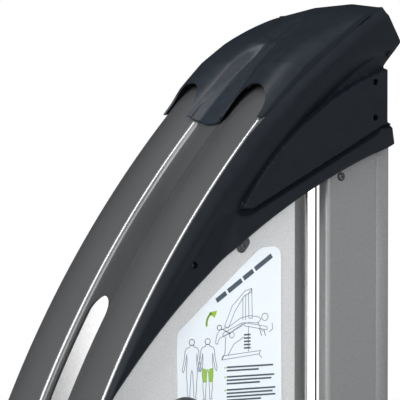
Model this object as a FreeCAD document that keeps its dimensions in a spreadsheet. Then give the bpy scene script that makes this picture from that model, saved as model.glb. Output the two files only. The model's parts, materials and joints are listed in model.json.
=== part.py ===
import FreeCAD, Part
# Lying leg curl: curved twin-tube weight tower beside a bent bench with a cantilevered roller arm.
#
# Millimetres, +Z up, +X from the feet towards the head, +Y from the bench towards the tower.
# Outlines are written in tower coordinates (x = 0 at the tower's rear edge, y = 0 on its middle
# plane), and every placement adds the offset that puts the origin on the floor at the centre of
# the whole machine.
import math
import os
import re
import Sketcher

Vector = FreeCAD.Vector

SIZES = {
    # centre of the machine's footprint to the tower's rear edge and middle plane
    "origin_x": 541.2, "origin_y": 328.05,
    # the tower's two flat-oval tubes follow one circle
    "arc_x": 992, "arc_z": 188, "arc_out": 1683.5,
    "tube_deep": 25, "tube_wide": 104, "tube_wall": 2.5, "tube_mid": 87.5,
    "tube_low": 5.1, "tube_high": 46,
    "web_drop": 12, "web_thick": 4, "web_half": 35.4,
    "slot_half": 28, "slot_low": 868, "slot_high": 1046,
    # sheet-metal sides of the tower
    "panel_out": 119, "sheet": 3, "panel_low": 82, "window_front": -175, "window_rear": -116,
    "column_top": 1300, "lip": 20, "shoulder": 1200, "shoulder_end_x": -473, "shoulder_end_z": 952,
    # moulded covers
    "wing_out": 143, "wing_deep": 22, "wing_skin": 3, "wing_back": 1660, "wing_seam": 1674,
    "cap_half": 139.8, "cap_out": 1697, "arch_r": 54, "arch_top": 1369,
    # tower base and top
    "foot": 22, "tray_top": 82, "tray_wall": 4, "tray_floor": 8, "tray_long": 640,
    "tray_foot_x": 726, "tray_foot_half": 145, "tray_foot_top": 38, "boot_top": 188,
    "rail_reach": 920, "rail_half": 30, "bar_top": 72,
    "shelf_z": 1262, "shelf_thick": 8,
    # weight stack
    "stack_x": -145, "rod_gap": 80, "rod_r": 9.5, "plate_long": 220, "plate_wide": 108,
    "plate_thick": 24.5, "plate_pitch": 25, "stack_z": 112, "resting_count": 8, "lifted_count": 5,
    "head_thick": 34, "rod_bore": 9.58, "stem_r": 11, "stem_bore": 11.08, "stem_top": 640,
    "pin_r": 4.5, "pin_bore": 4.58,
    # cables and pulleys
    "cable_r": 2.4, "cable_gap": 3.6, "groove_r": 48, "pulley_r": 54, "pulley_half": 9,
    "groove_half": 6.8, "axle_r": 6, "run_bore": 6.05, "cheek": 5,
    "top_pulley_z": 1345, "base_pulley_z": 148,
    "drop_x": -101, "drop_y": -85, "rise_x": -1050, "rise_y": -230,
    # lever
    "pivot_x": -930, "pivot_z": 560, "shaft_r": 12.5, "shaft_bore": 12.55, "cam_r": 120,
    "cam_rim": 132, "cam_half": 8, "cam_y": -230, "disc_r": 88, "disc_y": -314.5, "disc_thick": 6,
    "index_r": 70, "arm_y": -333, "arm_half": 15, "arm_tall": 50, "arm_long": 450, "arm_tail": 130,
    "arm_rise": 21, "hub_r": 34, "weight_r": 58, "roller_at": 400, "roller_r": 65,
    "roller_axle_r": 10, "roller_bore": 10.05,
    # bench
    "bench_y": -560, "hip_x": -500, "hip_z": 660, "thigh_tilt": 19.1, "chest_tilt": 8.8,
    "pad_thick": 60, "board": 15, "pad_half": 155, "thigh_x": -1020, "chest_x": 180,
    "spine_deep": 50, "spine_half": 30, "wall": 3, "spine_foot_x": -1092, "spine_head_x": 150,
    "rail_low": 72, "rail_high": 122,
}

doc = FreeCAD.newDocument("LyingLegCurl")
sheet = doc.addObject("Spreadsheet::Sheet", "P")
for row, (name, value) in enumerate(SIZES.items(), 1):
    sheet.set(f"A{row}", name)
    sheet.set(f"B{row}", str(value))
    sheet.setAlias(f"B{row}", name)
doc.recompute()

PARTS = []
UP = Vector(0, 0, 1)
SIDEWAYS = Vector(0, 1, 0)


# ---------------------------------------------------------------- expressions and placement

def bound(text):
    """The expression with each size named as a cell of the sheet."""
    return re.sub(r"[a-z]\w*", lambda w: f"P.{w.group()}" if w.group() in SIZES else w.group(), str(text))


def number(text):
    """The value of an expression."""
    return float(sheet.evalExpression(str(text)))


def bind(thing, **values):
    for prop, text in values.items():
        thing.setExpression(prop, bound(text))


def place(thing, x=0, y=0, z=0, turn=None):
    """Tower coordinates to the part's own frame; turn is a Rotation."""
    if turn is not None:
        thing.Placement = FreeCAD.Placement(Vector(), turn)
    thing.setExpression("Placement.Base.x", bound(f"origin_x + ({x})"))
    thing.setExpression("Placement.Base.y", bound(f"origin_y + ({y})"))
    thing.setExpression("Placement.Base.z", bound(f"{z}"))
    return thing


def about_y(degrees):
    return FreeCAD.Rotation(SIDEWAYS, degrees)


def facing(direction):
    """The rotation that takes +Z to a direction."""
    return FreeCAD.Rotation(UP, Vector(*direction))


def part(node, thing):
    thing.Label = node
    PARTS.append(thing)
    return thing


# ---------------------------------------------------------------- primitives and booleans

def box(size, corner, turn=None):
    thing = doc.addObject("Part::Box", "Box")
    bind(thing, Length=size[0], Width=size[1], Height=size[2])
    return place(thing, *corner, turn=turn)


def cylinder(radius, height, foot, direction=(0, 0, 1)):
    thing = doc.addObject("Part::Cylinder", "Cylinder")
    bind(thing, Radius=radius, Height=height)
    return place(thing, *foot, turn=facing(direction))


def span(radius, start, end):
    """A straight round bar between two points."""
    steps = [f"(({b}) - ({a}))" for a, b in zip(start, end)]
    length = "sqrt(" + " + ".join(f"{s}^2" for s in steps) + ")"
    return cylinder(radius, length, start, [number(s) for s in steps])


def ring(centre, offset, across, first, sweep, big="groove_r"):
    """A bent round cable about a centre: across is its axis, first the direction where it starts."""
    thing = doc.addObject("Part::Torus", "Ring")
    bind(thing, Radius1=big, Radius2="cable_r")
    thing.Angle3 = sweep
    side = Vector(*across).normalize()
    start = Vector(*first).normalize()
    third = side.cross(start)
    turn = FreeCAD.Rotation(start, third, side, "ZXY")
    moved = [f"({c}) + ({offset})*({number(a)})" for c, a in zip(centre, side)]
    return place(thing, *moved, turn=turn)


def tube_pair(outer, inner, length, foot, direction):
    return cut(cylinder(outer, length, foot, direction), cylinder(inner, length, foot, direction))


def fuse(*items):
    thing = doc.addObject("Part::MultiFuse", "Fuse")
    thing.Shapes = list(items)
    return thing


def cut(base, *tools):
    thing = doc.addObject("Part::Cut", "Cut")
    thing.Base = base
    thing.Tool = tools[0] if len(tools) == 1 else fuse(*tools)
    return thing


def group(*items):
    """Several separate solids in one node."""
    thing = doc.addObject("Part::Compound", "Group")
    thing.Links = list(items)
    return thing


# ---------------------------------------------------------------- sketched bodies

def new_body(x=0, y=0, z=0, turn=None):
    return place(doc.addObject("PartDesign::Body", "Body"), x, y, z, turn)


def origin_item(body, role):
    return [item for item in body.Origin.OriginFeatures if item.Role == role][0]


def outline(body, plane, loops, lift=0):
    """A fully constrained sketch. Each loop lists its corners anticlockwise as (u, v) or
    (u, v, radius), where radius makes the edge to the next corner an arc: positive bulges out
    of the loop, negative into it."""
    sketch = body.newObject("Sketcher::SketchObject", "Outline")
    sketch.AttachmentSupport = [(origin_item(body, plane), "")]
    sketch.MapMode = "FlatFace"
    sketch.AttachmentOffset = FreeCAD.Placement(Vector(0, 0, lift), FreeCAD.Rotation())
    for loop in loops:
        corners = [Vector(number(c[0]), number(c[1]), 0) for c in loop]
        first = sketch.GeometryCount
        flipped = []
        for i, corner in enumerate(loop):
            a, b = corners[i], corners[(i + 1) % len(loop)]
            radius = number(corner[2]) if len(corner) > 2 else 0
            flipped.append(radius < 0)
            if not radius:
                sketch.addGeometry(Part.LineSegment(a, b), False)
                continue
            if radius < 0:
                a, b = b, a
            half = (b - a) * 0.5
            rise = math.sqrt(max(radius * radius - half.Length ** 2, 0.0))
            centre = a + half + Vector(-half.y, half.x, 0).normalize() * rise
            circle = Part.Circle(centre, UP, abs(radius))
            start = math.atan2(a.y - centre.y, a.x - centre.x)
            end = math.atan2(b.y - centre.y, b.x - centre.x)
            sketch.addGeometry(Part.ArcOfCircle(circle, start, end), False)
        for i, corner in enumerate(loop):
            this, after = first + i, first + (i + 1) % len(loop)
            this_end = 1 if flipped[i] else 2
            after_start = 2 if flipped[(i + 1) % len(loop)] else 1
            sketch.addConstraint(Sketcher.Constraint("Coincident", this, this_end, after, after_start))
            begin = 2 if flipped[i] else 1
            for kind, value in (("DistanceX", corner[0]), ("DistanceY", corner[1])):
                index = sketch.addConstraint(
                    Sketcher.Constraint(kind, -1, 1, this, begin, number(value)))
                sketch.setExpression(f"Constraints[{index}]", bound(value))
            if len(corner) > 2:
                index = sketch.addConstraint(
                    Sketcher.Constraint("Radius", this, abs(number(corner[2]))))
                sketch.setExpression(f"Constraints[{index}]", bound(f"abs({corner[2]})"))
    return sketch


def feature(body, kind, sketch, flip=False, **values):
    thing = body.newObject(f"PartDesign::{kind}", kind)
    thing.Profile = sketch
    thing.Reversed = flip
    bind(thing, **values)
    doc.recompute()
    return thing


def turned(body, kind, sketch, axis, angle):
    thing = body.newObject(f"PartDesign::{kind}", kind)
    thing.Profile = sketch
    thing.ReferenceAxis = (origin_item(body, axis), [""])
    bind(thing, Angle=angle)
    doc.recompute()
    return thing


def slab(loops, y, length, flip=False):
    """An outline in the side view, extruded across: towards -Y from y, or +Y when flipped."""
    body = new_body(0, y, 0)
    feature(body, "Pad", outline(body, "XZ_Plane", loops), flip, Length=length)
    return body


def side_tube(loops, inner, half, y="bench_y"):
    """A rectangular tube bent in the side view, 2*half wide; inner is the bore's outline."""
    body = new_body(0, f"{y} + {half}", 0)
    feature(body, "Pad", outline(body, "XZ_Plane", [loops]), Length=f"2*{half}")
    hollow = outline(body, "XZ_Plane", [inner], lift=number("wall"))
    feature(body, "Pocket", hollow, True, Length=f"2*({half} - wall)")
    return body


def rectangle(u0, v0, u1, v1):
    return [(u0, v0), (u1, v0), (u1, v1), (u0, v1)]


def rounded(u0, v0, u1, v1, radius):
    r = radius
    return [(f"{u0} + {r}", v0), (f"{u1} - {r}", v0, f"{r}*1.001"), (u1, f"{v0} + {r}"),
            (u1, f"{v1} - {r}", f"{r}*1.001"), (f"{u1} - {r}", v1), (f"{u0} + {r}", v1, f"{r}*1.001"),
            (u0, f"{v1} - {r}"), (u0, f"{v0} + {r}", f"{r}*1.001")]


def beam(corner, size):
    """A straight rectangular tube with closed ends."""
    inner_size = [f"{length} - 2*wall" for length in size]
    inner_corner = [f"{start} + wall" for start in corner]
    return cut(box(size, corner), box(inner_size, inner_corner))


# ---------------------------------------------------------------- tower tubes and web

def on_circle(radius, height):
    """x of the tower circle of a given radius at a height, on its foot side."""
    return f"arc_x - sqrt(({radius})^2 - ({height} - arc_z)^2)"


def stadium(inset):
    """The flat-oval section in the sweep's start plane."""
    half = f"(tube_wide - tube_deep)/2"
    outer, inner = f"-(arc_out - {inset})", f"-(arc_out - tube_deep + {inset})"
    bend = f"(tube_deep - 2*{inset})/2 + 0.1"
    return [(outer, f"-({half})", bend), (inner, f"-({half})"), (inner, half, bend), (outer, half)]


def tower_tube(node, side):
    body = new_body("arc_x", f"{side}*tube_mid", "arc_z", about_y(-number("tube_low")))
    sketch = outline(body, "XY_Plane", [stadium("0"), stadium("tube_wall")])
    turned(body, "Revolution", sketch, "Y_Axis", "tube_low + tube_high")
    part(node, body)


def tower_web():
    body = new_body("arc_x", 0, "arc_z")
    face = "-(arc_out - web_drop)"
    back = "-(arc_out - web_drop - web_thick)"
    sketch = outline(body, "XY_Plane", [rectangle(face, "-web_half", back, "web_half")])
    turned(body, "Revolution", sketch, "Y_Axis", "tube_high - 1.5")
    straight = box(("200", "2*slot_half", "slot_high - slot_low - 2*slot_half"),
                   ("-600", "-slot_half", "slot_low + slot_half"))
    ends = [cylinder("slot_half", "200", ("-600", "0", z), (1, 0, 0))
            for z in ("slot_low + slot_half", "slot_high - slot_half")]
    part("tower_web", cut(body, straight, *ends))


# ---------------------------------------------------------------- tower sheet metal

def side_panel(node, side, fall, outlet):
    """Flat side sheet: its front follows the tube, its top slopes along the cover."""
    end_z = f"shoulder_end_z - {fall}"
    front = "arc_out - tube_deep - 2"
    loop = [("window_front", "panel_low"), ("window_front", f"shoulder - {fall}", "1206"),
            (on_circle(front, end_z), end_z, front), (on_circle(front, "panel_low"), "panel_low")]
    loops = [loop]
    if outlet:
        loops.append(rounded("-400", "panel_low + 6", "-250", "panel_low + 46", "10"))
    flip = side > 0
    y = f"{side}*(panel_out - sheet)"
    boot_room = box(("100", "400", "boot_top - 80 + 0.3"), ("-745.5", "-200", "80"))
    part(node, cut(slab(loops, y, "sheet", flip), boot_room))


def rear_panel(node, side):
    """Rear column: a sheet with an inward lip at each edge, the front one rounded."""
    body = new_body(0, 0, "panel_low")
    out, inn = f"{side}*panel_out", f"{side}*(panel_out - sheet)"
    lip = f"{side}*(panel_out - lip)"
    front, bend = "window_rear", "8"
    start = f"{side}*(panel_out - {bend})"
    inside = [(f"{front} + sheet", start), (f"{front} + {bend}", inn)]
    outside = [(f"{front} + {bend}", out), (front, start)]
    rear = [("-sheet", inn), ("-sheet", lip), ("0", lip), ("0", out)]
    small, large = f"-({bend} - sheet + 0.05)", f"{bend} + 0.05"
    if side > 0:
        loop = [(front, lip), (f"{front} + sheet", lip), inside[0] + (small,), inside[1]] + rear
        loop += [outside[0] + (large,), outside[1]]
    else:
        loop = [outside[1] + (large,), outside[0]] + rear[::-1] + [inside[1] + (small,), inside[0]]
        loop += [(f"{front} + sheet", lip), (front, lip)]
    feature(body, "Pad", outline(body, "XY_Plane", [loop]), Length="column_top - panel_low")
    part(node, body)


def placard():
    loop = [("-382", "772"), ("-199", "772"), ("-201", "1107", "14.5"), ("-215", "1120"),
            ("-234", "1119", "30"), ("-246", "1112"), ("-380", "1001", "16"), ("-387", "988")]
    part("placard", slab([loop], "-panel_out", "0.8"))


# ---------------------------------------------------------------- moulded covers

def wing_cover(node, side, tip_z, fall):
    """Shell over the tube's side: skin outside, one rim along the lower edge, open to the tower."""
    body = new_body(0, f"{side}*(wing_out - wing_deep)", 0)
    flip = side > 0
    tip_x = on_circle("wing_back", tip_z)
    rear = [("-4", f"1276 - {fall}"), ("-8", "1302"), ("-20", "1310"), ("-18", "1403"), ("1", "1431"),
            ("-22", "1486"), ("-45", "1488", "wing_seam")]
    front = [(on_circle("wing_seam", "1310"), "1310"), (on_circle("wing_back", "1300"), "1300", "wing_back")]
    loop = [(tip_x, tip_z, "-1200")] + rear + front
    feature(body, "Pad", outline(body, "XZ_Plane", [loop]), flip, Length="wing_deep")
    rim = [(f"{tip_x} - 2.5", f"{tip_z} + 2.5", "-1197"), ("-7", f"1280 - {fall}"), ("60", f"1280 - {fall}"),
           ("60", "1540"), ("-300", "1540"), ("-700", f"{tip_z} + 2.5")]
    hollow = outline(body, "XZ_Plane", [rim])
    feature(body, "Pocket", hollow, not flip, Length="wing_deep - wing_skin")
    tube_room = [(on_circle("1653.5", "800"), "800", "-1653.5"), (on_circle("1653.5", "1480"), "1480"),
                 ("-700", "1480"), ("-700", "800")]
    room = slab([tube_room], f"{side}*(wing_out - wing_deep - 1)", "wing_deep - wing_skin + 1", flip)
    part(node, cut(body, room))


def cap_cover():
    """Curved cap standing off the tube tops, open towards the foot and turned down behind the crest."""
    inner = [(on_circle("arc_out + 0.6", "1322"), "1322", "-696"), ("-78", "1475.5", "-296"),
             ("-28", "1485"), ("-4.5", "1431"), ("-21.5", "1404")]
    outer = [("-18", "1403"), ("0", "1431"), ("-26", "1489.5", "250"),
             (on_circle("cap_out", "1441"), "1441", "cap_out"), (on_circle("cap_out", "1324"), "1324")]
    hollow = [(on_circle(radius, z), z) for radius, z in (("cap_out - 4", "1318"), ("arc_out - 4", "1318"),
                                                          ("arc_out - 4", "1432"), ("cap_out - 4", "1432"))]
    room = slab([hollow], "cap_half - 3.8", "2*(cap_half - 3.8)")
    arches = [cylinder("arch_r", "200", ("-400", f"{side}*tube_mid", "arch_top - arch_r"), (1, 0, 0))
              for side in (-1, 1)]
    part("cap_cover", cut(slab([inner + outer], "cap_half", "2*cap_half"), room, *arches))


def tower_screws():
    """Pan heads on the covers, side panels and rear columns of both sides."""
    heads = []
    for side in (-1, 1):
        for x, z, level in ((-44, 1370, "wing_out"), (-44, 1316, "wing_out"), (-269, 1122, "panel_out"),
                            (-89, 1224, "panel_out"), (-89, 300, "panel_out"), (-330, 200, "panel_out"),
                            (-560, 200, "panel_out"), (-200, 200, "panel_out")):
            drop = 14 if (side > 0 and z == 1122) else 0
            heads.append(cylinder("5", "2.4", (x, f"{side}*{level}", z - drop), (0, side, 0)))
    part("tower_screws", group(*heads))


# ---------------------------------------------------------------- tower base and top

def tower_base():
    """Pressed tray under the stack, foot plate under the tubes and rail to the front cross bar."""
    tray = cut(box(("tray_long", "2*panel_out", "tray_top - foot"), ("-tray_long", "-panel_out", "foot")),
               box(("tray_long - 2*tray_wall", "2*(panel_out - tray_wall)", "tray_top"),
                   ("-tray_long + tray_wall", "-panel_out + tray_wall", "foot + tray_floor")))
    plate = box(("tray_foot_x - tray_long", "2*tray_foot_half", "tray_foot_top - foot"),
                ("-tray_foot_x", "-tray_foot_half", "foot"))
    rail = beam(("-rail_reach", "-rail_half", "foot"),
                ("rail_reach - tray_long", "2*rail_half", "bar_top - foot"))
    part("tower_base", fuse(tray, plate, rail))


def tube_boots():
    shells = []
    for side in (-1, 1):
        body = new_body(0, f"{side}*tube_mid", "tray_foot_top")
        shell = rounded("-720.5", "-(tube_wide/2 + 5.5)", "-646", "tube_wide/2 + 5.5", "16")
        gap = rounded("-694", "-(tube_wide/2 + 0.6)", "-658.5", "tube_wide/2 + 0.6", "12")
        feature(body, "Pad", outline(body, "XY_Plane", [shell, gap]), Length="boot_top - tray_foot_top")
        shells.append(body)
    part("tube_boots", group(*shells))


def cheek_pair(centre, along, across, low, high):
    """Two upright plates beside a pulley, standing between two heights."""
    plates, reach = [], 22
    turn = FreeCAD.Rotation(Vector(*along), Vector(*across), UP, "ZXY")
    for side in (-1, 1):
        gap = f"({side}*(pulley_half + 1.5 + cheek/2) - cheek/2)"
        corner = [f"({c}) - {reach}*({a}) + {gap}*({b})" for c, a, b in zip(centre, along, across)]
        plates.append(box((f"2*{reach}", "cheek", f"({high}) - ({low})"), (corner[0], corner[1], low), turn))
    return plates


def axle(centre, across):
    """A pulley's fixed axle, standing a little out of both plates."""
    half = "(pulley_half + 1.5 + cheek + 3)"
    foot = [f"({c}) - {half}*({a})" for c, a in zip(centre, across)]
    return cylinder("axle_r", f"2*{half}", foot, across)


def unit(x, y):
    length = math.hypot(x, y)
    return (x / length, y / length, 0.0)


TOP_ALONG = unit(number("drop_x - stack_x"), number("drop_y"))
TOP_ACROSS = (-TOP_ALONG[1], TOP_ALONG[0], 0.0)
TOP_CENTRE = ("(stack_x + drop_x)/2", "drop_y/2", "top_pulley_z")
LOW_ALONG = unit(number("rise_x - drop_x"), number("rise_y - drop_y"))
LOW_ACROSS = (-LOW_ALONG[1], LOW_ALONG[0], 0.0)
BACK_CENTRE = (f"drop_x + groove_r*({LOW_ALONG[0]})", f"drop_y + groove_r*({LOW_ALONG[1]})", "base_pulley_z")
FORE_CENTRE = (f"rise_x - groove_r*({LOW_ALONG[0]})", f"rise_y - groove_r*({LOW_ALONG[1]})", "base_pulley_z")


def top_plate():
    """Shelf that ties the columns and rods together and carries the top pulley."""
    shelf = box(("254", "2*(panel_out - lip)", "shelf_thick"), ("-258", "-panel_out + lip", "shelf_z"))
    holes = [cylinder("11", "20", (x, y, "shelf_z - 5")) for x, y in (("stack_x", "0"), ("drop_x", "drop_y"))]
    plates = cheek_pair(TOP_CENTRE, TOP_ALONG, TOP_ACROSS, "shelf_z + shelf_thick", "top_pulley_z + 14")
    part("top_plate", fuse(cut(shelf, *holes), *plates, axle(TOP_CENTRE, TOP_ACROSS)))


def base_pulley_brackets():
    back = cheek_pair(BACK_CENTRE, LOW_ALONG, LOW_ACROSS, "foot + tray_floor", "base_pulley_z + 14")
    fore = cheek_pair(FORE_CENTRE, LOW_ALONG, LOW_ACROSS, "80", "base_pulley_z + 14")
    part("base_pulley_brackets", group(fuse(*back, axle(BACK_CENTRE, LOW_ACROSS)),
                                       fuse(*fore, axle(FORE_CENTRE, LOW_ACROSS))))


def pulley(node, centre, across):
    """Grooved pulley with a plain bore, turning on its axle."""
    body = new_body(*centre, turn=facing(across))
    floor_r = "groove_r - cable_r - 0.3"
    loop = [("run_bore", "-pulley_half"), ("pulley_r", "-pulley_half"), ("pulley_r", "-groove_half - 0.6"),
            (floor_r, "-groove_half"), (floor_r, "groove_half"), ("pulley_r", "groove_half + 0.6"),
            ("pulley_r", "pulley_half"), ("run_bore", "pulley_half")]
    turned(body, "Revolution", outline(body, "XZ_Plane", [loop]), "Z_Axis", "360")
    part(node, body)


# ---------------------------------------------------------------- weight stack

def weight_plate(z, thick, pin_hole=True):
    body = new_body("stack_x", 0, z)
    loops = [rounded("-plate_long/2", "-plate_wide/2", "plate_long/2", "plate_wide/2", "12")]
    feature(body, "Pad", outline(body, "XY_Plane", loops), Length=thick)
    holes = [cylinder("rod_bore", "80", (f"stack_x + {s}*rod_gap", "0", f"({z}) - 20")) for s in (-1, 1)]
    holes.append(cylinder("stem_bore", "80", ("stack_x", "0", f"({z}) - 20")))
    if pin_hole:
        holes.append(cylinder("pin_bore", "plate_wide/2 + 25",
                              ("stack_x", "-plate_wide/2 - 5", f"({z}) + ({thick})/2"), (0, 1, 0)))
    return cut(body, *holes)


def weight_stack():
    split = "stack_z + resting_count*plate_pitch"
    for node, low, count in (("resting_plates", "stack_z", "resting_count"),
                             ("lifted_plates", split, "lifted_count")):
        plates = [weight_plate(f"{low} + {i}*plate_pitch", "plate_thick") for i in range(int(number(count)))]
        part(node, group(*plates))
    head_z = f"{split} + lifted_count*plate_pitch"
    part("head_plate", weight_plate(head_z, "head_thick", False))
    pin_z = f"{split} + plate_thick/2"
    stem = cylinder("stem_r", "stem_top - stack_z - 6", ("stack_x", "0", "stack_z + 6"))
    yoke = box(("34", "34", "30"), ("stack_x - 17", "-17", "stem_top"))
    pin_hole = cylinder("pin_bore", "40", ("stack_x", "-20", pin_z), (0, 1, 0))
    part("selector_stem", cut(fuse(stem, yoke), pin_hole))
    rod = cylinder("pin_r", "plate_wide/2 + 30", ("stack_x", "-plate_wide/2 - 14", pin_z), (0, 1, 0))
    knob = cylinder("15", "22", ("stack_x", "-plate_wide/2 - 36", pin_z), (0, 1, 0))
    part("selector_pin", fuse(rod, knob))
    feet = [(f"stack_x + {s}*rod_gap", "0", "foot + tray_floor") for s in (-1, 1)]
    part("guide_rods", group(*[cylinder("rod_r", "shelf_z - foot - tray_floor", spot) for spot in feet]))
    bumpers = [tube_pair("24", "rod_bore", "stack_z - foot - tray_floor", spot, (0, 0, 1)) for spot in feet]
    part("stack_bumpers", group(*bumpers))


# ---------------------------------------------------------------- cables

def cables():
    stack, down, low, bends, wound = [], [], [], [], []
    for side in (-1, 1):
        shift = f"{side}*cable_gap"
        top = [f"{shift}*({a})" for a in TOP_ACROSS]
        base = [f"{-side}*cable_gap*({a})" for a in LOW_ACROSS]
        stack.append(cylinder("cable_r", "top_pulley_z - stem_top - 30",
                              (f"stack_x + {top[0]}", top[1], "stem_top + 30")))
        down.append(span("cable_r", (f"drop_x + {top[0]}", f"drop_y + {top[1]}", "top_pulley_z"),
                         (f"drop_x + {base[0]}", f"drop_y + {base[1]}", "base_pulley_z")))
        ends = [(f"{centre[0]} + {base[0]}", f"{centre[1]} + {base[1]}", "base_pulley_z - groove_r")
                for centre in (BACK_CENTRE, FORE_CENTRE)]
        low.append(span("cable_r", *ends))
        low.append(cylinder("cable_r", "pivot_z - 0.3 - base_pulley_z",
                            (f"rise_x + {base[0]}", f"rise_y + {base[1]}", "base_pulley_z")))
        bends.append(ring(TOP_CENTRE, shift, TOP_ACROSS, [-a for a in TOP_ALONG], 180))
        bends.append(ring(BACK_CENTRE, f"{-side}*cable_gap", LOW_ACROSS, (0, 0, -1), 90))
        wound.append(ring(("pivot_x", "cam_y", "pivot_z"), shift, (0, 1, 0), (-1, 0, 0), 120, "cam_r"))
        bends.append(ring(FORE_CENTRE, f"{-side}*cable_gap", LOW_ACROSS, LOW_ALONG, 90))
    part("stack_cables", group(*stack))
    part("return_cables", group(*down))
    part("lower_cables", group(*low))
    part("pulley_cables", group(*bends))
    part("cam_cables", group(*wound))


# ---------------------------------------------------------------- lever

RISE = math.radians(number("arm_rise"))
ARM = (-math.cos(RISE), 0.0, math.sin(RISE))
ARM_UP = (math.sin(RISE), 0.0, math.cos(RISE))


def on_arm(distance, lift="0"):
    """A point of the lever arm's middle plane, out from the pivot and square to the arm."""
    return (f"pivot_x + ({distance})*({ARM[0]}) + ({lift})*({ARM_UP[0]})",
            f"pivot_z + ({distance})*({ARM[2]}) + ({lift})*({ARM_UP[2]})")


def arm_box(start, end, tall, y, wide):
    """A box along the arm, centred on its line, from y towards +Y."""
    x, z = on_arm(start, f"-({tall})/2")
    turn = FreeCAD.Rotation(Vector(*ARM), SIDEWAYS * -1, Vector(*ARM_UP), "ZXY")
    return box((f"({end}) - ({start})", wide, tall), (x, f"({y}) + ({wide})", z), turn)


def bar_y(radius, x, z, low, high):
    """A round bar along Y between two values of y."""
    return cylinder(radius, f"({high}) - ({low})", (x, low, z), (0, 1, 0))


def from_pivot(radius, degrees):
    """A point at a radius round the lever's pivot."""
    angle = math.radians(degrees)
    return f"pivot_x + ({radius})*{math.cos(angle)}", f"pivot_z + ({radius})*{math.sin(angle)}"


def cam_shaft():
    part("lever_axle", bar_y("shaft_r", "pivot_x", "pivot_z", -353, -215))
    body = new_body("pivot_x", "cam_y", "pivot_z", facing((0, 1, 0)))
    floor_r = "cam_r - cable_r - 0.9"
    loop = [("shaft_r", "-14"), ("30", "-14"), ("30", "-cam_half"), ("cam_rim", "-cam_half"),
            ("cam_rim", "-groove_half"), (floor_r, "-groove_half"), (floor_r, "groove_half"),
            ("cam_rim", "groove_half"), ("cam_rim", "cam_half"), ("30", "cam_half"), ("30", "14"),
            ("shaft_r", "14")]
    turned(body, "Revolution", outline(body, "XZ_Plane", [loop]), "Z_Axis", "360")
    windows = [bar_y("22", *from_pivot("74", a), -250, -210) for a in range(30, 390, 60)]
    part("cam", cut(body, *windows))
    disc = bar_y("disc_r", "pivot_x", "pivot_z", "disc_y", "disc_y + disc_thick")
    holes = [bar_y("shaft_r", "pivot_x", "pivot_z", -330, -300)]
    for step in range(4):
        holes.append(bar_y("5.2", *from_pivot("index_r", 180 - number("arm_rise") - 10 * step), -330, -300))
    part("start_disc", cut(disc, *holes))


def lever_arm():
    y_low = "arm_y - arm_half"
    bar = arm_box("-arm_tail", "arm_long", "arm_tall", y_low, "2*arm_half")
    inner = arm_box("index_r + 30", "arm_long - wall", "arm_tall - 2*wall", "arm_y - arm_half + wall",
                    "2*(arm_half - wall)")
    hub = bar_y("hub_r", "pivot_x", "pivot_z", y_low, "arm_y + arm_half + 1.5")
    bore = bar_y("shaft_bore", "pivot_x", "pivot_z", -380, -300)
    x, z = on_arm("index_r")
    pin_bore = bar_y("5.06", x, z, -380, -300)
    part("lever_arm", cut(fuse(bar, hub), inner, bore, pin_bore))
    x, z = on_arm("-arm_tail + 18")
    part("counterweight", bar_y("weight_r", x, z, "arm_y - arm_half - 26", "arm_y - arm_half"))
    x, z = on_arm("index_r")
    pin = bar_y("5", x, z, "arm_y - arm_half - 30", "disc_y - 0.5")
    knob = bar_y("15", x, z, "arm_y - arm_half - 38", "arm_y - arm_half - 14")
    part("start_pin", fuse(pin, knob))


def roller_set():
    outside = arm_box("roller_at - 42", "roller_at + 42", "arm_tall + 12", "arm_y - arm_half - 6",
                      "2*arm_half + 12")
    room = arm_box("roller_at - 60", "roller_at + 60", "arm_tall + 0.6", "arm_y - arm_half - 0.3",
                   "2*arm_half + 0.6")
    sleeve = cut(outside, room)
    hole_x, hole_z = on_arm("roller_at", "arm_tall/2 - 2")
    part("roller_carriage", cut(sleeve, cylinder("5.06", "30", (hole_x, "arm_y", hole_z), ARM_UP)))
    low_x, low_z = on_arm("roller_at", "arm_tall/2 + 0.5")
    head_x, head_z = on_arm("roller_at", "arm_tall/2 + 14")
    part("carriage_knob", fuse(cylinder("5", "34", (low_x, "arm_y", low_z), ARM_UP),
                               cylinder("17", "22", (head_x, "arm_y", head_z), ARM_UP)))
    x, z = on_arm("roller_at")
    side = "arm_y - arm_half - 6"
    part("roller_axle", fuse(bar_y("roller_axle_r", x, z, -735, side),
                             bar_y("26", x, z, f"{side} - 10", side), bar_y("28", x, z, -735, -729)))
    for node, low, high in (("roller_pad_far", -552, -372), ("roller_pad_near", -726, -556)):
        part(node, cut(bar_y("roller_r", x, z, low, high), bar_y("roller_bore", x, z, low - 5, high + 5)))


def lever_stand():
    post = beam(("-960", "-306", "80"), ("60", "60", "440"))
    plate = box(("160", "100", "8"), ("-1040", "-306", "72"))
    wing = box(("100", "116", "8"), ("-1060", "-306", "72"))
    cap = box(("76", "64", "6"), ("-968", "-308", "520"))
    blocks = [box(("64", "24", "72"), ("pivot_x - 32", y, "526")) for y in (-306, -270)]
    bore = bar_y("shaft_bore", "pivot_x", "pivot_z", -320, -230)
    part("lever_post", cut(fuse(plate, wing, post, cap, *blocks), bore))


# ---------------------------------------------------------------- bench

def under_thigh(x, drop):
    """Height of the line that lies drop below the thigh pad's top."""
    return f"hip_z + (({x}) - hip_x)*tan(thigh_tilt) - ({drop})/cos(thigh_tilt)"


def under_chest(x, drop):
    return f"hip_z - (({x}) - hip_x)*tan(chest_tilt) - ({drop})/cos(chest_tilt)"


def bend_x(drop):
    """x where the two lines at one drop meet."""
    return f"hip_x + ({drop})*(1/cos(thigh_tilt) - 1/cos(chest_tilt))/(tan(thigh_tilt) + tan(chest_tilt))"


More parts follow.
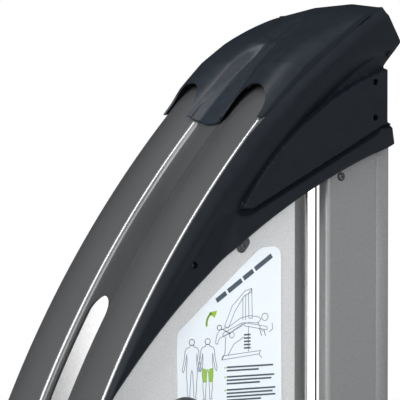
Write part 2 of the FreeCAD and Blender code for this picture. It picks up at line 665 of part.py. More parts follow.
def spine_tube(line, inset, end, gap):
    """Side outline of one straight spine tube between its outer end and the mitre at the hip.
    gap is how far it stops short of the mitre, counted towards +X."""
    top = f"pad_thick + board + {inset}"
    low = f"pad_thick + board + spine_deep - {inset}"
    mitre = [(f"{bend_x(drop)} + {gap}", line(f"({bend_x(drop)} + {gap})", drop)) for drop in (low, top)]
    outer = [(end, line(end, drop)) for drop in (low, top)]
    if line is under_thigh:
        return [outer[0], mitre[0], mitre[1], outer[1]]
    return [mitre[0], outer[0], outer[1], mitre[1]]


def pad(length, thick, half, inset, radius):
    body = new_body()
    loop = rounded(f"{inset}", f"-({half} - {inset})", f"{length} - {inset}", f"{half} - {inset}", radius)
    feature(body, "Pad", outline(body, "XY_Plane", [loop]), Length=thick)
    return body


def lay(body, x, tilt, drop):
    """Put a pad's lower near corner line on the bench slope; tilt raises its head end."""
    angle = math.radians(tilt)
    body.Placement = FreeCAD.Placement(Vector(), about_y(-tilt))
    line = under_thigh if tilt > 0 else under_chest
    z = f"({line(x, 0)}) - ({drop})*{math.cos(angle)}"
    return place(body, f"({x}) + ({drop})*{math.sin(angle)}", "bench_y", z)


def hip_room(side):
    """What lies past the hip joint for the pads of one side: -1 the thigh's, 1 the chest's."""
    low, high = "pad_thick + board + 20", "-20"
    near = [(f"{bend_x(d)} + {side}*3", under_thigh(bend_x(d), d)) for d in (low, high)]
    far = [(f"{x} - {side}*200", z) for x, z in near]
    loop = [near[0], far[0], far[1], near[1]] if side < 0 else [far[0], near[0], near[1], far[1]]
    return slab([loop], "bench_y + pad_half + 10", "2*(pad_half + 10)")


def pads():
    thigh_room, chest_room = hip_room(-1), hip_room(1)
    thigh, chest = number("thigh_tilt"), -number("chest_tilt")
    long_thigh = "(hip_x - 4 - thigh_x)/cos(thigh_tilt)"
    long_chest = "(chest_x - hip_x - 4)/cos(chest_tilt)"
    thigh_pad = lay(pad(long_thigh, "pad_thick", "pad_half", "0", "45"), "thigh_x", thigh, "pad_thick")
    chest_pad = lay(pad(long_chest, "pad_thick", "pad_half", "0", "45"), "hip_x + 4", chest, "pad_thick")
    part("thigh_pad", cut(thigh_pad, thigh_room))
    part("chest_pad", cut(chest_pad, chest_room))
    thigh_board = lay(pad(long_thigh, "board", "pad_half", "12", "36"), "thigh_x", thigh, "pad_thick + board")
    chest_board = lay(pad(long_chest, "board", "pad_half", "12", "36"), "hip_x + 4", chest,
                      "pad_thick + board")
    part("pad_boards", group(cut(thigh_board, thigh_room), cut(chest_board, chest_room)))


def bench_frame():
    thigh = side_tube(spine_tube(under_thigh, "0", "spine_foot_x", "0"),
                      spine_tube(under_thigh, "wall", "spine_foot_x + wall", "(-wall)"), "spine_half")
    chest = side_tube(spine_tube(under_chest, "0", "spine_head_x", "0"),
                      spine_tube(under_chest, "wall", "spine_head_x - wall", "wall"), "spine_half")
    part("bench_spine", group(thigh, chest))
    low = "pad_thick + board + spine_deep"
    leg = [("-1090", "230"), ("-1030", "230"), ("-1030", under_thigh("-1030", low)),
           ("-1090", under_thigh("-1090", low))]
    leg_body = slab([leg], "bench_y + 30", "60")
    part("front_leg", cut(leg_body, box(("54", "54", "70"), ("-1087", "bench_y - 27", "229"))))
    wedge = doc.addObject("Part::Wedge", "Wedge")
    bind(wedge, Xmin="-62", Xmax="62", Zmin="-75", Zmax="75", Ymin="0", Ymax="212", X2min="-33", X2max="33",
         Z2min="-33", Z2max="33")
    turn = FreeCAD.Rotation(Vector(1, 0, 0), 90)
    foot = part("leg_foot", place(wedge, "-1060", "bench_y", "18", turn))
    arch = new_body("-520", "bench_y", "rail_high", about_y(0))
    circle = [("-408", "0", "28.02"), ("-352", "0", "28.02")]
    hole = [("-405", "0", "25.02"), ("-355", "0", "25.02")]
    turned(arch, "Revolution", outline(arch, "XY_Plane", [circle, hole]), "Y_Axis", "76")
    above = slab([[("-1000", under_thigh("-1000", low)), ("-400", under_thigh("-400", low)), ("-400", "800"),
                   ("-1000", "800")]], "bench_y + 60", "120")
    part("arch_tube", cut(arch, above))
    upright = [("-320", "rail_high"), ("-260", "rail_high"), ("-260", under_chest("-260", low)),
               ("-320", under_chest("-320", low))]
    inside = [("-317", "rail_high - 9"), ("-263", "rail_high - 9"), ("-263", "600"), ("-317", "600")]
    part("rear_upright", side_tube(upright, inside, "30"))
    rail = [("-1012", "rail_low"), ("-130", "rail_low", "-20"), ("-110", "rail_low - 20"),
            ("-110", "18"), ("-60", "18"), ("-60", "rail_low - 20", "70"), ("-130", "rail_high"),
            ("-1012", "rail_high")]
    bore = [("-930", "rail_low + wall"), ("-130", "rail_low + wall", "-23"), ("-107", "rail_low - 20"),
            ("-107", "21"), ("-63", "21"), ("-63", "rail_low - 20", "67"), ("-130", "rail_high - wall"),
            ("-930", "rail_high - wall")]
    part("base_rail", cut(side_tube(rail, bore, "30"), foot))
    head = [("spine_head_x", under_chest("spine_head_x", low)), ("196", "426", "90"), ("286", "516"),
            ("286", "640"), ("236", "640"), ("236", "516", "-40"), ("196", "474"),
            ("spine_head_x", under_chest("spine_head_x", "76"))]
    core = [("spine_head_x + wall", "435"), ("196", "429", "87"), ("283", "516"), ("283", "636"),
            ("239", "636"), ("239", "516", "-43"), ("196", "471"), ("spine_head_x + wall", "478.4")]
    part("head_bar", side_tube(head, core, "28"))


def cross_bars():
    front = beam(("-980", "-715", "foot"), ("60", "775", "bar_top - foot"))
    rear = beam(("-482", "-640", "foot"), ("60", "640 - panel_out", "bar_top - foot"))
    part("cross_bars", group(front, rear))
    part("grab_post", tube_pair("25", "22.5", "821", ("-452", "-250", "bar_top"), (0, 0, 1)))
    ball = doc.addObject("Part::Sphere", "Ball")
    bind(ball, Radius="29")
    dome = doc.addObject("Part::Common", "Dome")
    dome.Base = place(ball, "-452", "-250", "bar_top + 814")
    dome.Tool = cylinder("26", "40", ("-452", "-250", "bar_top + 821"))
    part("post_cap", dome)
    heading = math.degrees(math.atan2(LOW_ALONG[1], LOW_ALONG[0]))
    guard = new_body("-465", "-140.6", 0, FreeCAD.Rotation(UP, heading))
    section = [("-21", "76"), ("-19", "76"), ("-19", "124"), ("19", "124"), ("19", "76"), ("21", "76"),
               ("21", "126"), ("-21", "126")]
    feature(guard, "Pad", outline(guard, "YZ_Plane", [section]), Length="418")
    part("cable_guard", guard)


def handles():
    z = f"{under_chest('20', '125')} - 16.2"
    bars = [bar_y("16", "20", z, "bench_y - 222", "bench_y + 222")]
    grips = []
    for side in (-1, 1):
        y = f"bench_y + {side}*222"
        knee = doc.addObject("Part::Sphere", "Knee")
        bind(knee, Radius="16")
        arm = span("16", ("20", y, z), ("-57", y, f"{z} - 181.72"))
        bars += [place(knee, "20", y, z), arm]
        grips.append(cut(span("19.5", ("-12", y, f"{z} - 75.52"), ("-58", y, f"{z} - 184.08")), arm))
    part("handles", fuse(*bars))
    part("handle_grips", group(*grips))


def rubber_feet():
    spots = [(-600, -95, "foot"), (-600, 95, "foot"), (-40, -95, "foot"), (-40, 95, "foot"),
             (-950, -690, "foot"), (-950, 30, "foot"), (-452, -610, "foot"), (-85, "bench_y", "18"),
             (-1060, "bench_y", "18"), (-290, "bench_y", "rail_low")]
    part("rubber_feet", group(*[cylinder("29", height, (x, y, "0")) for x, y, height in spots]))


# ---------------------------------------------------------------- build and export

tower_tube("tower_tube_near", -1)
tower_tube("tower_tube_far", 1)
tower_web()
side_panel("side_panel_near", -1, "0", True)
side_panel("side_panel_far", 1, "18", False)
rear_panel("rear_panel_near", -1)
rear_panel("rear_panel_far", 1)
placard()
wing_cover("wing_cover_near", -1, "899", "0")
wing_cover("wing_cover_far", 1, "1085", "24")
cap_cover()
tower_screws()
tower_base()
tube_boots()
top_plate()
base_pulley_brackets()
pulley("top_pulley", TOP_CENTRE, TOP_ACROSS)
pulley("base_pulley_rear", BACK_CENTRE, LOW_ACROSS)
pulley("base_pulley_front", FORE_CENTRE, LOW_ACROSS)
weight_stack()
cables()
cam_shaft()
lever_arm()
roller_set()
lever_stand()
pads()
bench_frame()
cross_bars()
handles()
rubber_feet()

doc.recompute()
faults = [f"{item.Name} {item.State}" for item in doc.Objects if {"Invalid", "Error"} & set(item.State)]
faults += [item.Label for item in PARTS if item.Shape.isNull() or not item.Shape.isValid()]
if faults:
    raise RuntimeError("failed objects: " + ", ".join(faults))
os.makedirs("parts", exist_ok=True)
whole = FreeCAD.BoundBox()
for item in PARTS:
    item.Shape.exportStep(f"parts/{item.Label}.step")
    whole.add(item.Shape.BoundBox)
    print(f"{item.Label:22s} solids {len(item.Shape.Solids):2d} volume {item.Shape.Volume / 1000:9.1f} cm3")
print(len(PARTS), "nodes", whole)
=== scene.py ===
"""Looks of the lying leg curl: moulded cap and side covers, painted tubes, silver panels, the
stitched bench and the rollers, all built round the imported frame."""
import json
from math import cos, exp, pi, radians, sin, sqrt, tan
import bmesh
import bpy
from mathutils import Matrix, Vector
from mathutils.bvhtree import BVHTree
from mathutils.kdtree import KDTree


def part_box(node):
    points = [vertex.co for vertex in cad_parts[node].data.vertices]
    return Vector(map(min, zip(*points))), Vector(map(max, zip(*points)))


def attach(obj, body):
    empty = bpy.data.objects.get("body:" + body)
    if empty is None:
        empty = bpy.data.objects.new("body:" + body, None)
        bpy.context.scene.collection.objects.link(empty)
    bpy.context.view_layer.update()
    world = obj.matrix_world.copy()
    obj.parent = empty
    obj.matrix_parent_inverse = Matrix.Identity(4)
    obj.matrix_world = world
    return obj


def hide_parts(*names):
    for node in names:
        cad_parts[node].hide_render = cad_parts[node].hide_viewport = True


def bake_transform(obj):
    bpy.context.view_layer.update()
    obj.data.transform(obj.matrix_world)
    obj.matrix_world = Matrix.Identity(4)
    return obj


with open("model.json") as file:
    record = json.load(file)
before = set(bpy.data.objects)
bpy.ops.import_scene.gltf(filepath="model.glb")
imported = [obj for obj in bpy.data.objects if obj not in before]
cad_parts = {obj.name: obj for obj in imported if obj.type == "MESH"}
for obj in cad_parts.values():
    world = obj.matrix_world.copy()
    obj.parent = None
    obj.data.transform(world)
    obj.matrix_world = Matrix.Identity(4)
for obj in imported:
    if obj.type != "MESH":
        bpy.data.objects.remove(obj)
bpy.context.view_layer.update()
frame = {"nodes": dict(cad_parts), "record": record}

NODES = frame["nodes"]
ROOT = "tower_and_bench"
MM = 0.001

# the tower's rear edge and middle plane, which every tower curve below is measured from
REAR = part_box("rear_panel_near")[1].x
MID = (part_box("side_panel_near")[0].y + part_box("side_panel_far")[1].y) / 2
# the centre of the tubes' arc, in tower millimetres
ARC_X, ARC_Z = 992, 188
# the tower's sheet metal faces and the bench's middle plane, across the tower
SHEET_Y, BENCH_Y = 119, -560


def at(x, y, z):
    """Tower millimetres to the scene's metres."""
    return Vector((REAR + x * MM, MID + y * MM, z * MM))


# -------------------- materials

def nodes_of(name):
    mat = bpy.data.materials.new(name)
    mat.use_nodes = True
    return mat, mat.node_tree, mat.node_tree.nodes["Principled BSDF"]


def given(node, values):
    """The shader node with its inputs set from {name: value}."""
    for key, value in values.items():
        node.inputs[key].default_value = value
    return node


def finish_of(name, color, rough, metallic=0.0, mottle=0.06, mottle_scale=30.0, grain=0.1,
              grain_scale=900.0, coat=0.0, sheen=0.0, rough_spread=0.06, stretch=(1, 1, 1), depth=0.0004,
              kind="noise", specular=0.5):
    """A surface with patchy colour and roughness and a fine bump, all procedural."""
    mat, tree, shader = nodes_of(name)
    add, wire = tree.nodes.new, tree.links.new
    where = add("ShaderNodeTexCoord")
    spread = given(add("ShaderNodeMapping"), {"Scale": stretch})
    wire(where.outputs["Object"], spread.inputs["Vector"])
    patches = given(add("ShaderNodeTexNoise"), {"Scale": mottle_scale, "Detail": 6})
    wire(spread.outputs["Vector"], patches.inputs["Vector"])
    tint = add("ShaderNodeValToRGB")
    tint.color_ramp.elements[0].position, tint.color_ramp.elements[1].position = 0.3, 0.7
    tint.color_ramp.elements[0].color = [c * (1 - mottle) for c in color] + [1]
    tint.color_ramp.elements[1].color = [min(1, c * (1 + mottle)) for c in color] + [1]
    wire(patches.outputs["Fac"], tint.inputs["Fac"])
    wire(tint.outputs["Color"], shader.inputs["Base Color"])
    shine = given(add("ShaderNodeMapRange"), {"From Min": 0.3, "From Max": 0.7,
                                              "To Min": max(0.02, rough - rough_spread),
                                              "To Max": min(1, rough + rough_spread)})
    wire(patches.outputs["Fac"], shine.inputs["Value"])
    wire(shine.outputs["Result"], shader.inputs["Roughness"])
    if kind == "pebble":
        fine = add("ShaderNodeTexVoronoi")
        out = fine.outputs["Distance"]
    else:
        fine = given(add("ShaderNodeTexNoise"), {"Detail": 3})
        out = fine.outputs["Fac"]
    fine.inputs["Scale"].default_value = grain_scale
    wire(spread.outputs["Vector"], fine.inputs["Vector"])
    bump = given(add("ShaderNodeBump"), {"Strength": grain, "Distance": depth})
    wire(out, bump.inputs["Height"])
    wire(bump.outputs["Normal"], shader.inputs["Normal"])
    given(shader, {"Metallic": metallic, "Coat Weight": coat, "Coat Roughness": 0.12, "Sheen Weight": sheen,
                   "Specular IOR Level": specular})
    return mat


# colour, roughness, metallic, mottle and its scale, grain and its scale, then the rest by name
FINISHES = {
    "tube_grey": (((0.042, 0.0425, 0.044), 0.30, 0.4, 0.02, 12, 0.003, 1400), dict(coat=0.45, rough_spread=0.01)),
    "web_grey": (((0.014, 0.0145, 0.0155), 0.5, 0.2, 0.03, 12, 0.006, 1400), dict(rough_spread=0.02)),
    "silver": (((0.60, 0.60, 0.60), 0.42, 0.55, 0.09, 420, 0.25, 700), dict(rough_spread=0.05)),
    "column": (((0.2, 0.2, 0.2), 0.42, 0.5, 0.09, 420, 0.25, 700), dict(rough_spread=0.05)),
    "shell": (((0.0048, 0.0066, 0.0092), 0.46, 0, 0.10, 60, 0.18, 1600), dict(rough_spread=0.04, specular=0.13)),
    "black_plastic": (((0.014, 0.015, 0.017), 0.45, 0, 0.12, 60, 0.2, 1200), {}),
    "black_paint": (((0.018, 0.019, 0.021), 0.35, 0, 0.08, 40, 0.12, 900), dict(coat=0.2)),
    "frame_grey": (((0.125, 0.127, 0.132), 0.33, 0.35, 0.05, 25, 0.12, 1000), dict(coat=0.3)),
    "iron": (((0.022, 0.023, 0.025), 0.5, 0.2, 0.2, 90, 0.5, 350), dict(depth=0.0008)),
    "chrome": (((0.78, 0.78, 0.79), 0.09, 1, 0.02, 20, 0.02, 2000), dict(rough_spread=0.03)),
    "zinc": (((0.45, 0.46, 0.48), 0.3, 1, 0.08, 300, 0.1, 1500), {}),
    "dark_steel": (((0.10, 0.10, 0.105), 0.32, 0.9, 0.1, 300, 0.1, 1500), {}),
    "vinyl": (((0.016, 0.016, 0.018), 0.42, 0, 0.10, 25, 0.55, 620), dict(sheen=0.1, kind="pebble", depth=0.0005)),
    "thread": (((0.05, 0.05, 0.055), 0.7, 0, 0.2, 900, 0.6, 2500), {}),
    "rubber": (((0.013, 0.013, 0.014), 0.72, 0, 0.15, 80, 0.35, 700), {}),
    "jacket": (((0.016, 0.016, 0.018), 0.36, 0, 0.2, 500, 0.6, 900), dict(stretch=(1, 1, 0.35))),
    "nylon": (((0.02, 0.021, 0.023), 0.34, 0, 0.08, 50, 0.1, 900), {}),
    "board": (((0.035, 0.028, 0.022), 0.6, 0, 0.3, 60, 0.4, 300), dict(stretch=(1, 6, 6))),
    "placard": (((0.64, 0.685, 0.72), 0.38, 0, 0.01, 15, 0.03, 600), {}),
    "ink": (((0.045, 0.065, 0.085), 0.5, 0, 0.08, 200, 0.03, 900), {}),
    "pale_ink": (((0.2, 0.23, 0.27), 0.5, 0, 0.05, 200, 0.03, 900), {}),
    "green_ink": (((0.23, 0.42, 0.02), 0.5, 0, 0.06, 200, 0.03, 900), {}),
}
MATS = {name: finish_of(name, *values, **rest) for name, (values, rest) in FINISHES.items()}

NODE_MATS = {
    "tube_grey": ["tower_tube_near", "tower_tube_far"],
    "web_grey": ["tower_web"],
    "silver": ["side_panel_near", "side_panel_far"],
    "column": ["rear_panel_near", "rear_panel_far"],
    "placard": ["placard"],
    "black_plastic": ["tube_boots", "leg_foot", "post_cap", "carriage_knob"],
    "black_paint": ["tower_base", "top_plate", "base_pulley_brackets", "cable_guard"],
    "frame_grey": ["cam", "start_disc", "lever_arm", "roller_carriage", "lever_post", "bench_spine", "front_leg",
                   "arch_tube", "rear_upright", "base_rail", "head_bar", "cross_bars", "grab_post"],
    "iron": ["resting_plates", "lifted_plates", "head_plate", "counterweight"],
    "chrome": ["guide_rods", "selector_stem", "lever_axle", "start_pin", "roller_axle", "handles"],
    "zinc": ["tower_screws"],
    "dark_steel": ["selector_pin"],
    "vinyl": ["thigh_pad", "chest_pad", "roller_pad_far", "roller_pad_near"],
    "rubber": ["stack_bumpers", "rubber_feet", "handle_grips"],
    "jacket": ["stack_cables", "return_cables", "lower_cables", "pulley_cables", "cam_cables"],
    "nylon": ["top_pulley", "base_pulley_rear", "base_pulley_front"],
    "board": ["pad_boards"],
    "shell": ["wing_cover_near", "wing_cover_far", "cap_cover"],
}
for finish, names in NODE_MATS.items():
    for name in names:
        NODES[name].data.materials.clear()
        NODES[name].data.materials.append(MATS[finish])


# -------------------- mesh helpers

def added(name, data):
    """A new object in the scene."""
    obj = bpy.data.objects.new(name, data)
    bpy.context.scene.collection.objects.link(obj)
    return obj


def piece(name, mesh, finish, body=ROOT, instead=(), angle=35):
    """A finished piece that rides on a body and stands for the named CAD nodes."""
    mesh.shade_smooth()
    mesh.set_sharp_from_angle(angle=radians(angle))
    obj = added(name, mesh)
    mesh.materials.clear()
    mesh.materials.append(MATS[finish])
    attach(obj, body)
    if instead:
        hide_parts(*instead)
    return obj


def mesh_from(name, verts, faces):
    mesh = bpy.data.meshes.new(name)
    mesh.from_pydata([tuple(v) for v in verts], [], faces)
    mesh.validate()
    mesh.update()
    return mesh


def tidy(mesh, merge=1e-5, fill=False):
    """The mesh with open ends filled if asked, doubled points merged and normals turned outward."""
    bm = bmesh.new()
    bm.from_mesh(mesh)
    if fill:
        bmesh.ops.holes_fill(bm, edges=[e for e in bm.edges if e.is_boundary], sides=0)
    bmesh.ops.remove_doubles(bm, verts=bm.verts, dist=merge)
    bmesh.ops.recalc_face_normals(bm, faces=bm.faces)
    bm.to_mesh(mesh)
    bm.free()
    return mesh


def modified(mesh, *settings):
    """The mesh with modifiers applied; each setting is (type, {property: value})."""
    obj = added("working", mesh)
    for kind, values in settings:
        modifier = obj.modifiers.new(kind, kind)
        for key, value in values.items():
            setattr(modifier, key, value)
    bpy.context.view_layer.update()
    done = bpy.data.meshes.new_from_object(obj.evaluated_get(bpy.context.evaluated_depsgraph_get()))
    bpy.data.objects.remove(obj)
    return done


def grid_faces(rows, columns, closed=False):
    wide = columns if closed else columns - 1
    return [(r * columns + c, r * columns + (c + 1) % columns, (r + 1) * columns + (c + 1) % columns,
             (r + 1) * columns + c) for r in range(rows - 1) for c in range(wide)]


def ended_faces(rows, columns):
    """Faces of closed rings, one above another, with both ends shut."""
    ends = [tuple(range(columns)), tuple(range((rows - 1) * columns, rows * columns))]
    return grid_faces(rows, columns, True) + ends


def lathe(name, profile, foot, direction, steps=48):
    """A turned solid: profile lists (radius, height) along the direction from foot, in mm."""
    turn = Vector((0, 0, 1)).rotation_difference(Vector(direction).normalized())
    verts = []
    for radius, height in profile:
        for i in range(steps):
            a = 2 * pi * i / steps
            local = Vector((radius * cos(a), radius * sin(a), height)) * MM
            verts.append(Vector(foot) + turn @ local)
    return tidy(mesh_from(name, verts, grid_faces(len(profile), steps, True)), 1e-6, True)


def plate(name, outline, place, thick):
    """A flat plate from an outline of (u, v) points; place(u, v, lift) gives a point in metres."""
    count = len(outline)
    verts = [place(u, v, 0) for u, v in outline] + [place(u, v, thick) for u, v in outline]
    faces = [tuple(range(count)), tuple(range(2 * count - 1, count - 1, -1))]
    faces += [(i, (i + 1) % count, count + (i + 1) % count, count + i) for i in range(count)]
    return tidy(mesh_from(name, verts, faces), 1e-7)


def joined(name, meshes):
    bm = bmesh.new()
    for mesh in meshes:
        bm.from_mesh(mesh)
    out = bpy.data.meshes.new(name)
    bm.to_mesh(out)
    bm.free()
    return out


def smooth(edge_low, edge_high, value):
    t = min(1.0, max(0.0, (value - edge_low) / (edge_high - edge_low)))
    return t * t * (3 - 2 * t)


def along(points, t):
    """The point at a share t of a polyline's length."""
    lengths = [(Vector(b) - Vector(a)).length for a, b in zip(points, points[1:])]
    left = t * sum(lengths)
    for a, b, length in zip(points, points[1:], lengths):
        if left <= length:
            return Vector(a).lerp(Vector(b), left / length)
        left -= length
    return Vector(points[-1])


def height_at(points, x):
    """z of a line of (x, z) points at x, held level beyond its ends."""
    if x <= points[0][0]:
        return points[0][1]
    for (x0, z0), (x1, z1) in zip(points, points[1:]):
        if x <= x1:
            return z0 + (z1 - z0) * (x - x0) / (x1 - x0)
    return points[-1][1]


def on_arc(radius, z):
    return ARC_X - sqrt(radius ** 2 - (z - ARC_Z) ** 2)


# -------------------- cap

CAP_SIDE, CAP_SKIN = 139.8, 3.0
HUMP_MID, HUMP_HALF, TONGUE = 93.0, 43.0, 50.0
# (z, radius) of the humps' tops, and (y, z) of the crest
CROWN = [(1400, 1700), (1430, 1692)]
CREST_LINE = [(-140, 1485), (-60, 1492), (40, 1488), (140, 1475)]
SHOULDER, CREST_X = 1430, -30
# (z, radius) of the cap's side edge, and of the seam below it that the side covers reach up to
CAP_RIM = [(1290, 1680), (1395, 1676), (1484, 1660)]
SEAM = [(1290, 1677), (1376, 1667), (1484, 1650)]


def cap_edge(y):
    """Height of the cap's lower edge across the tower: an arch over each tube and a tongue between."""
    if abs(y) < TONGUE:
        return 1305 + 13 * (abs(y) / TONGUE) ** 2
    offset = min(1.0, abs(abs(y) - HUMP_MID) / HUMP_HALF)
    return 1318 + 51 * sqrt(1 - offset ** 2.6)


def cap_radius(y, z):
    """Outer radius of the cap: a domed hump over each tube, with a narrowing valley between."""
    crown = height_at(CROWN, z)
    wide = abs(y)
    floor = 1676 + 10 * smooth(26, 44, wide)
    floor += (crown - floor - 4) * smooth(1405, 1462, z)
    rim = height_at(CAP_RIM, z)
    foot = 46 * max(0.0, 1 - ((z - 1305) / 152) ** 2)
    if wide >= HUMP_MID:
        u = (wide - HUMP_MID) / (CAP_SIDE - HUMP_MID)
        radius = rim + (crown - rim) * (1 - min(1, u) ** 3)
    elif wide > foot:
        u = (wide - foot) / (HUMP_MID - foot)
        radius = floor + (crown - floor) * (1 - (1 - u) ** 2.6) ** 0.75
    else:
        radius = floor
    return radius


def cap_columns():
    """Stations across the cap, closer together where its lower edge is steep."""
    stations = [0.0]
    for (start, end), count in zip(((0, TONGUE), (TONGUE, HUMP_MID), (HUMP_MID, HUMP_MID + HUMP_HALF),
                                    (HUMP_MID + HUMP_HALF, CAP_SIDE)), (26, 26, 28, 6)):
        stations += [start + (end - start) * (1 - cos(pi * k / count)) / 2 for k in range(1, count + 1)]
    stations.append(CAP_SIDE + 0.5)
    return [-y for y in reversed(stations[1:])] + stations


def bezier(points, t):
    a, b, c, d = points
    return a * (1 - t) ** 3 + b * 3 * t * (1 - t) ** 2 + c * 3 * t * t * (1 - t) + d * t ** 3


def cap():
    """The moulded cap: up the tubes, over the crest and down the back, with a flange at each side."""
    columns = cap_columns()
    front, over = 70, 34
    rows = []
    for r in range(front):
        row = []
        for y in columns:
            z = cap_edge(y) + (SHOULDER - cap_edge(y)) * r / (front - 1)
            radius = height_at(SEAM, z) - 3 if abs(y) > CAP_SIDE else cap_radius(y, z)
            row.append(at(on_arc(radius, z), y, z))
        rows.append(row)
    for r in range(1, over + 1):
        row = []
        for y in columns:
            flange = abs(y) > CAP_SIDE
            start = Vector((on_arc(height_at(SEAM, SHOULDER) - 3 if flange else cap_radius(y, SHOULDER), SHOULDER),
                            SHOULDER))
            end = Vector((CREST_X + 4 * flange, height_at(CREST_LINE, y) - 7 * flange))
            point = bezier((start, start + Vector((36, 21)), end - Vector((42, 9)), end), r / over)
            step = 2.4 * smooth(-133, -125, point.x) * (1 - smooth(-112, -60, point.x))
            row.append(at(point.x, y, point.y - step * (1 - smooth(70, 125, abs(y)))))
        rows.append(row)
    for dx, dz in ((3, 0.2), (5.5, -1.2), (7, -3.6), (8, -7), (13, -20)):
        rows.append([at(CREST_X + dx, y, height_at(CREST_LINE, y) + dz) for y in columns])
    for x, z in ((-8, 1456), (0.5, 1434), (0.8, 1430), (-16, 1405)):
        rows.append([at(x, y, z) for y in columns])
    mesh = mesh_from("cap_shell", [v for row in rows for v in row], grid_faces(len(rows), len(columns)))
    mesh = modified(tidy(mesh), ("SMOOTH", {"factor": 0.5, "iterations": 2}),
                    ("SOLIDIFY", {"thickness": -CAP_SKIN * MM, "offset": 1, "use_even_offset": False}))
    piece("cap_shell", mesh, "shell", instead=["cap_cover"], angle=50)


# -------------------- side covers

# half widths: the cover's face, its edge against the tube, and its turned-in rims; its sheet's thickness
FACE, TUBE_SIDE, RIM_SIDE, COVER_SKIN = 144.2, 139.9, 121.5, 2.4
# the near cover's highest ridge and corner, and the lowest point of its rear edge
RIDGE_TOP, CORNER_TOP, REAR_FOOT = 1473, 1486, 1267
# (x, z) of the rear edge's corners; (z, radius) of the ridge; (x, z) of the screw holes
REAR_LINE = [(-16, REAR_FOOT), (-1, 1274), (-2, 1301), (-16, 1308), (-16, 1395), (-12, 1402), (6, 1432),
             (-17, RIDGE_TOP)]
RIDGE = [(890, 1670), (1150, 1658), (1363, 1653), (RIDGE_TOP, 1635)]
HOLES = [(-38.5, 1370), (-38.5, 1315), (-366, 1097)]
HOLE_R, WELL_Y = 5.0, 128


def holes_on(side):
    """The cover's screw holes; the far cover is shorter and lacks the one at the tip."""
    return [(x, z) for x, z in HOLES if side < 0 or x > -300]


def bowed(start, end, rise, count):
    """Points on a shallow arc between two points, standing up from its chord by the rise."""
    start, end = Vector(start), Vector(end)
    away = Vector((start.y - end.y, end.x - start.x)).normalized()
    return [start.lerp(end, i / (count - 1)) + away * rise * (1 - (2 * i / (count - 1) - 1) ** 2)
            for i in range(count)]


LEAF_TOP = bowed((-276, 1190), (-17, 1391), 28, 40)
LEAF_LOW = [(-265, 1178), (-21, 1303)]


def face_drop(x, z, ridge):
    """How far the cover's face lies in from its ridge: a hollow under the ridge, a raised leaf with a
    groove below it, and a band along the lower edge."""
    over, under = height_at(LEAF_TOP, x) - z, z - height_at(LEAF_LOW, x)
    leaf = smooth(-1.0, 1.6, min(over * 0.75, under * 0.9, (x + 280) * 0.8))
    hollow = 17 * min(1.0, ridge / 50) ** 1.7 * (1 - smooth(1385, 1440, z) * smooth(-90, -15, x))
    tail = smooth(-345, -285, x)
    hollow = hollow * tail + 8 * smooth(0, 24, ridge) * (1 - tail)
    band = smooth(-335, -280, x) * (1 - smooth(-6, 2, under))
    base = hollow * (1 - band) + (6.5 + 4.0 * smooth(-34, -4, under)) * band
    groove = 5.5 * exp(-((under + 4.5) / 4.2) ** 2) * smooth(-300, -272, x) * (1 - smooth(-34, -14, x))
    return base * (1 - leaf) + 4.5 * leaf + groove * (1 - leaf)


def wing(name, side, node, lower, tip, corner):
    """Side cover: relief face between lower edge and ridge, chamfer up to the tube, turned-in rims.
    lower is its lower edge's two ends and rise; tip and corner are the heights of its two top ends."""
    across, long = 92, 300
    dropped = CORNER_TOP - corner
    ridge_line, edge_line = [], []
    for i in range(long):
        share = i / (long - 1)
        z = tip + (RIDGE_TOP - dropped - tip) * share
        ridge_line.append(Vector((on_arc(height_at(RIDGE, z), z), 0, z)))
        z = tip + 1 + (corner - tip - 1) * share
        edge_line.append(Vector((on_arc(height_at(SEAM, z) - (0 if side < 0 else 7), z), 0, z)))
    low_line = [Vector((point.x, 0, point.y)) for point in bowed(*lower, long)]
    rear = [(x, 0, z + (lower[1][1] - REAR_FOOT) * (1 - smooth(1300, 1400, z)) - dropped * smooth(1400, 1470, z))
            for x, z in REAR_LINE]
    rows = []
    for i in range(long):
        t = i / (long - 1)
        low, high = low_line[i], ridge_line[i]
        pull = smooth(0.90, 1.0, t) ** 2
        row = []
        for j in range(across):
            v = j / (across - 1)
            point = low.lerp(high, v)
            point += (along(rear, v) - low_line[-1].lerp(ridge_line[-1], v)) * pull
            ridge, near_edge = (high - point).length, (point - low).length
            drop = face_drop(point.x, point.z, ridge) * smooth(0, 60, (high - low).length)
            drop += 2.5 * (1 - smooth(0, 4, near_edge))
            row.append(at(point.x, side * (FACE - drop), point.z))
        for share in (0.35, 0.75, 1.0):
            mid = high.lerp(edge_line[i], share)
            row.append(at(mid.x, side * (FACE + (TUBE_SIDE - FACE) * share ** 1.3), mid.z))
        row.insert(0, Vector((row[0].x, MID + side * RIM_SIDE * MM, row[0].z)))
        rows.append(row)
    rows.append([Vector((v.x, MID + side * RIM_SIDE * MM, v.z)) for v in rows[-1]])
    mesh = tidy(mesh_from(name, [v for row in rows for v in row], grid_faces(len(rows), len(rows[0]))), 2e-6)
    mesh = modified(mesh, ("SOLIDIFY", {"thickness": COVER_SKIN * MM, "offset": -1, "use_even_offset": False}))
    drills = joined("drills", [lathe("drill", [(HOLE_R, -12), (HOLE_R, 12)], at(x, side * 137, z), (0, side, 0), 40)
                               for x, z in holes_on(side)])
    drill = added("drill", drills)
    mesh = modified(mesh, ("BOOLEAN", {"object": drill, "operation": "DIFFERENCE", "solver": "EXACT"}))
    bpy.data.objects.remove(drill)
    return piece(name, mesh, "shell", instead=[node], angle=40)


cap()
wing("wing_shell_near", -1, "wing_cover_near", ((-515, 900), (-18, 1267), 44), 897, 1486)
wing("wing_shell_far", 1, "wing_cover_far", ((-382, 1085), (-18, 1243), 0), 1078, 1476)


# -------------------- screws and small trim

# (x, z) of the sheet metal's screws; the first holds the clip on the near side
SCREWS = [(-269, 1122), (-89, 1224), (-89, 300), (-330, 200), (-560, 200), (-200, 200)]


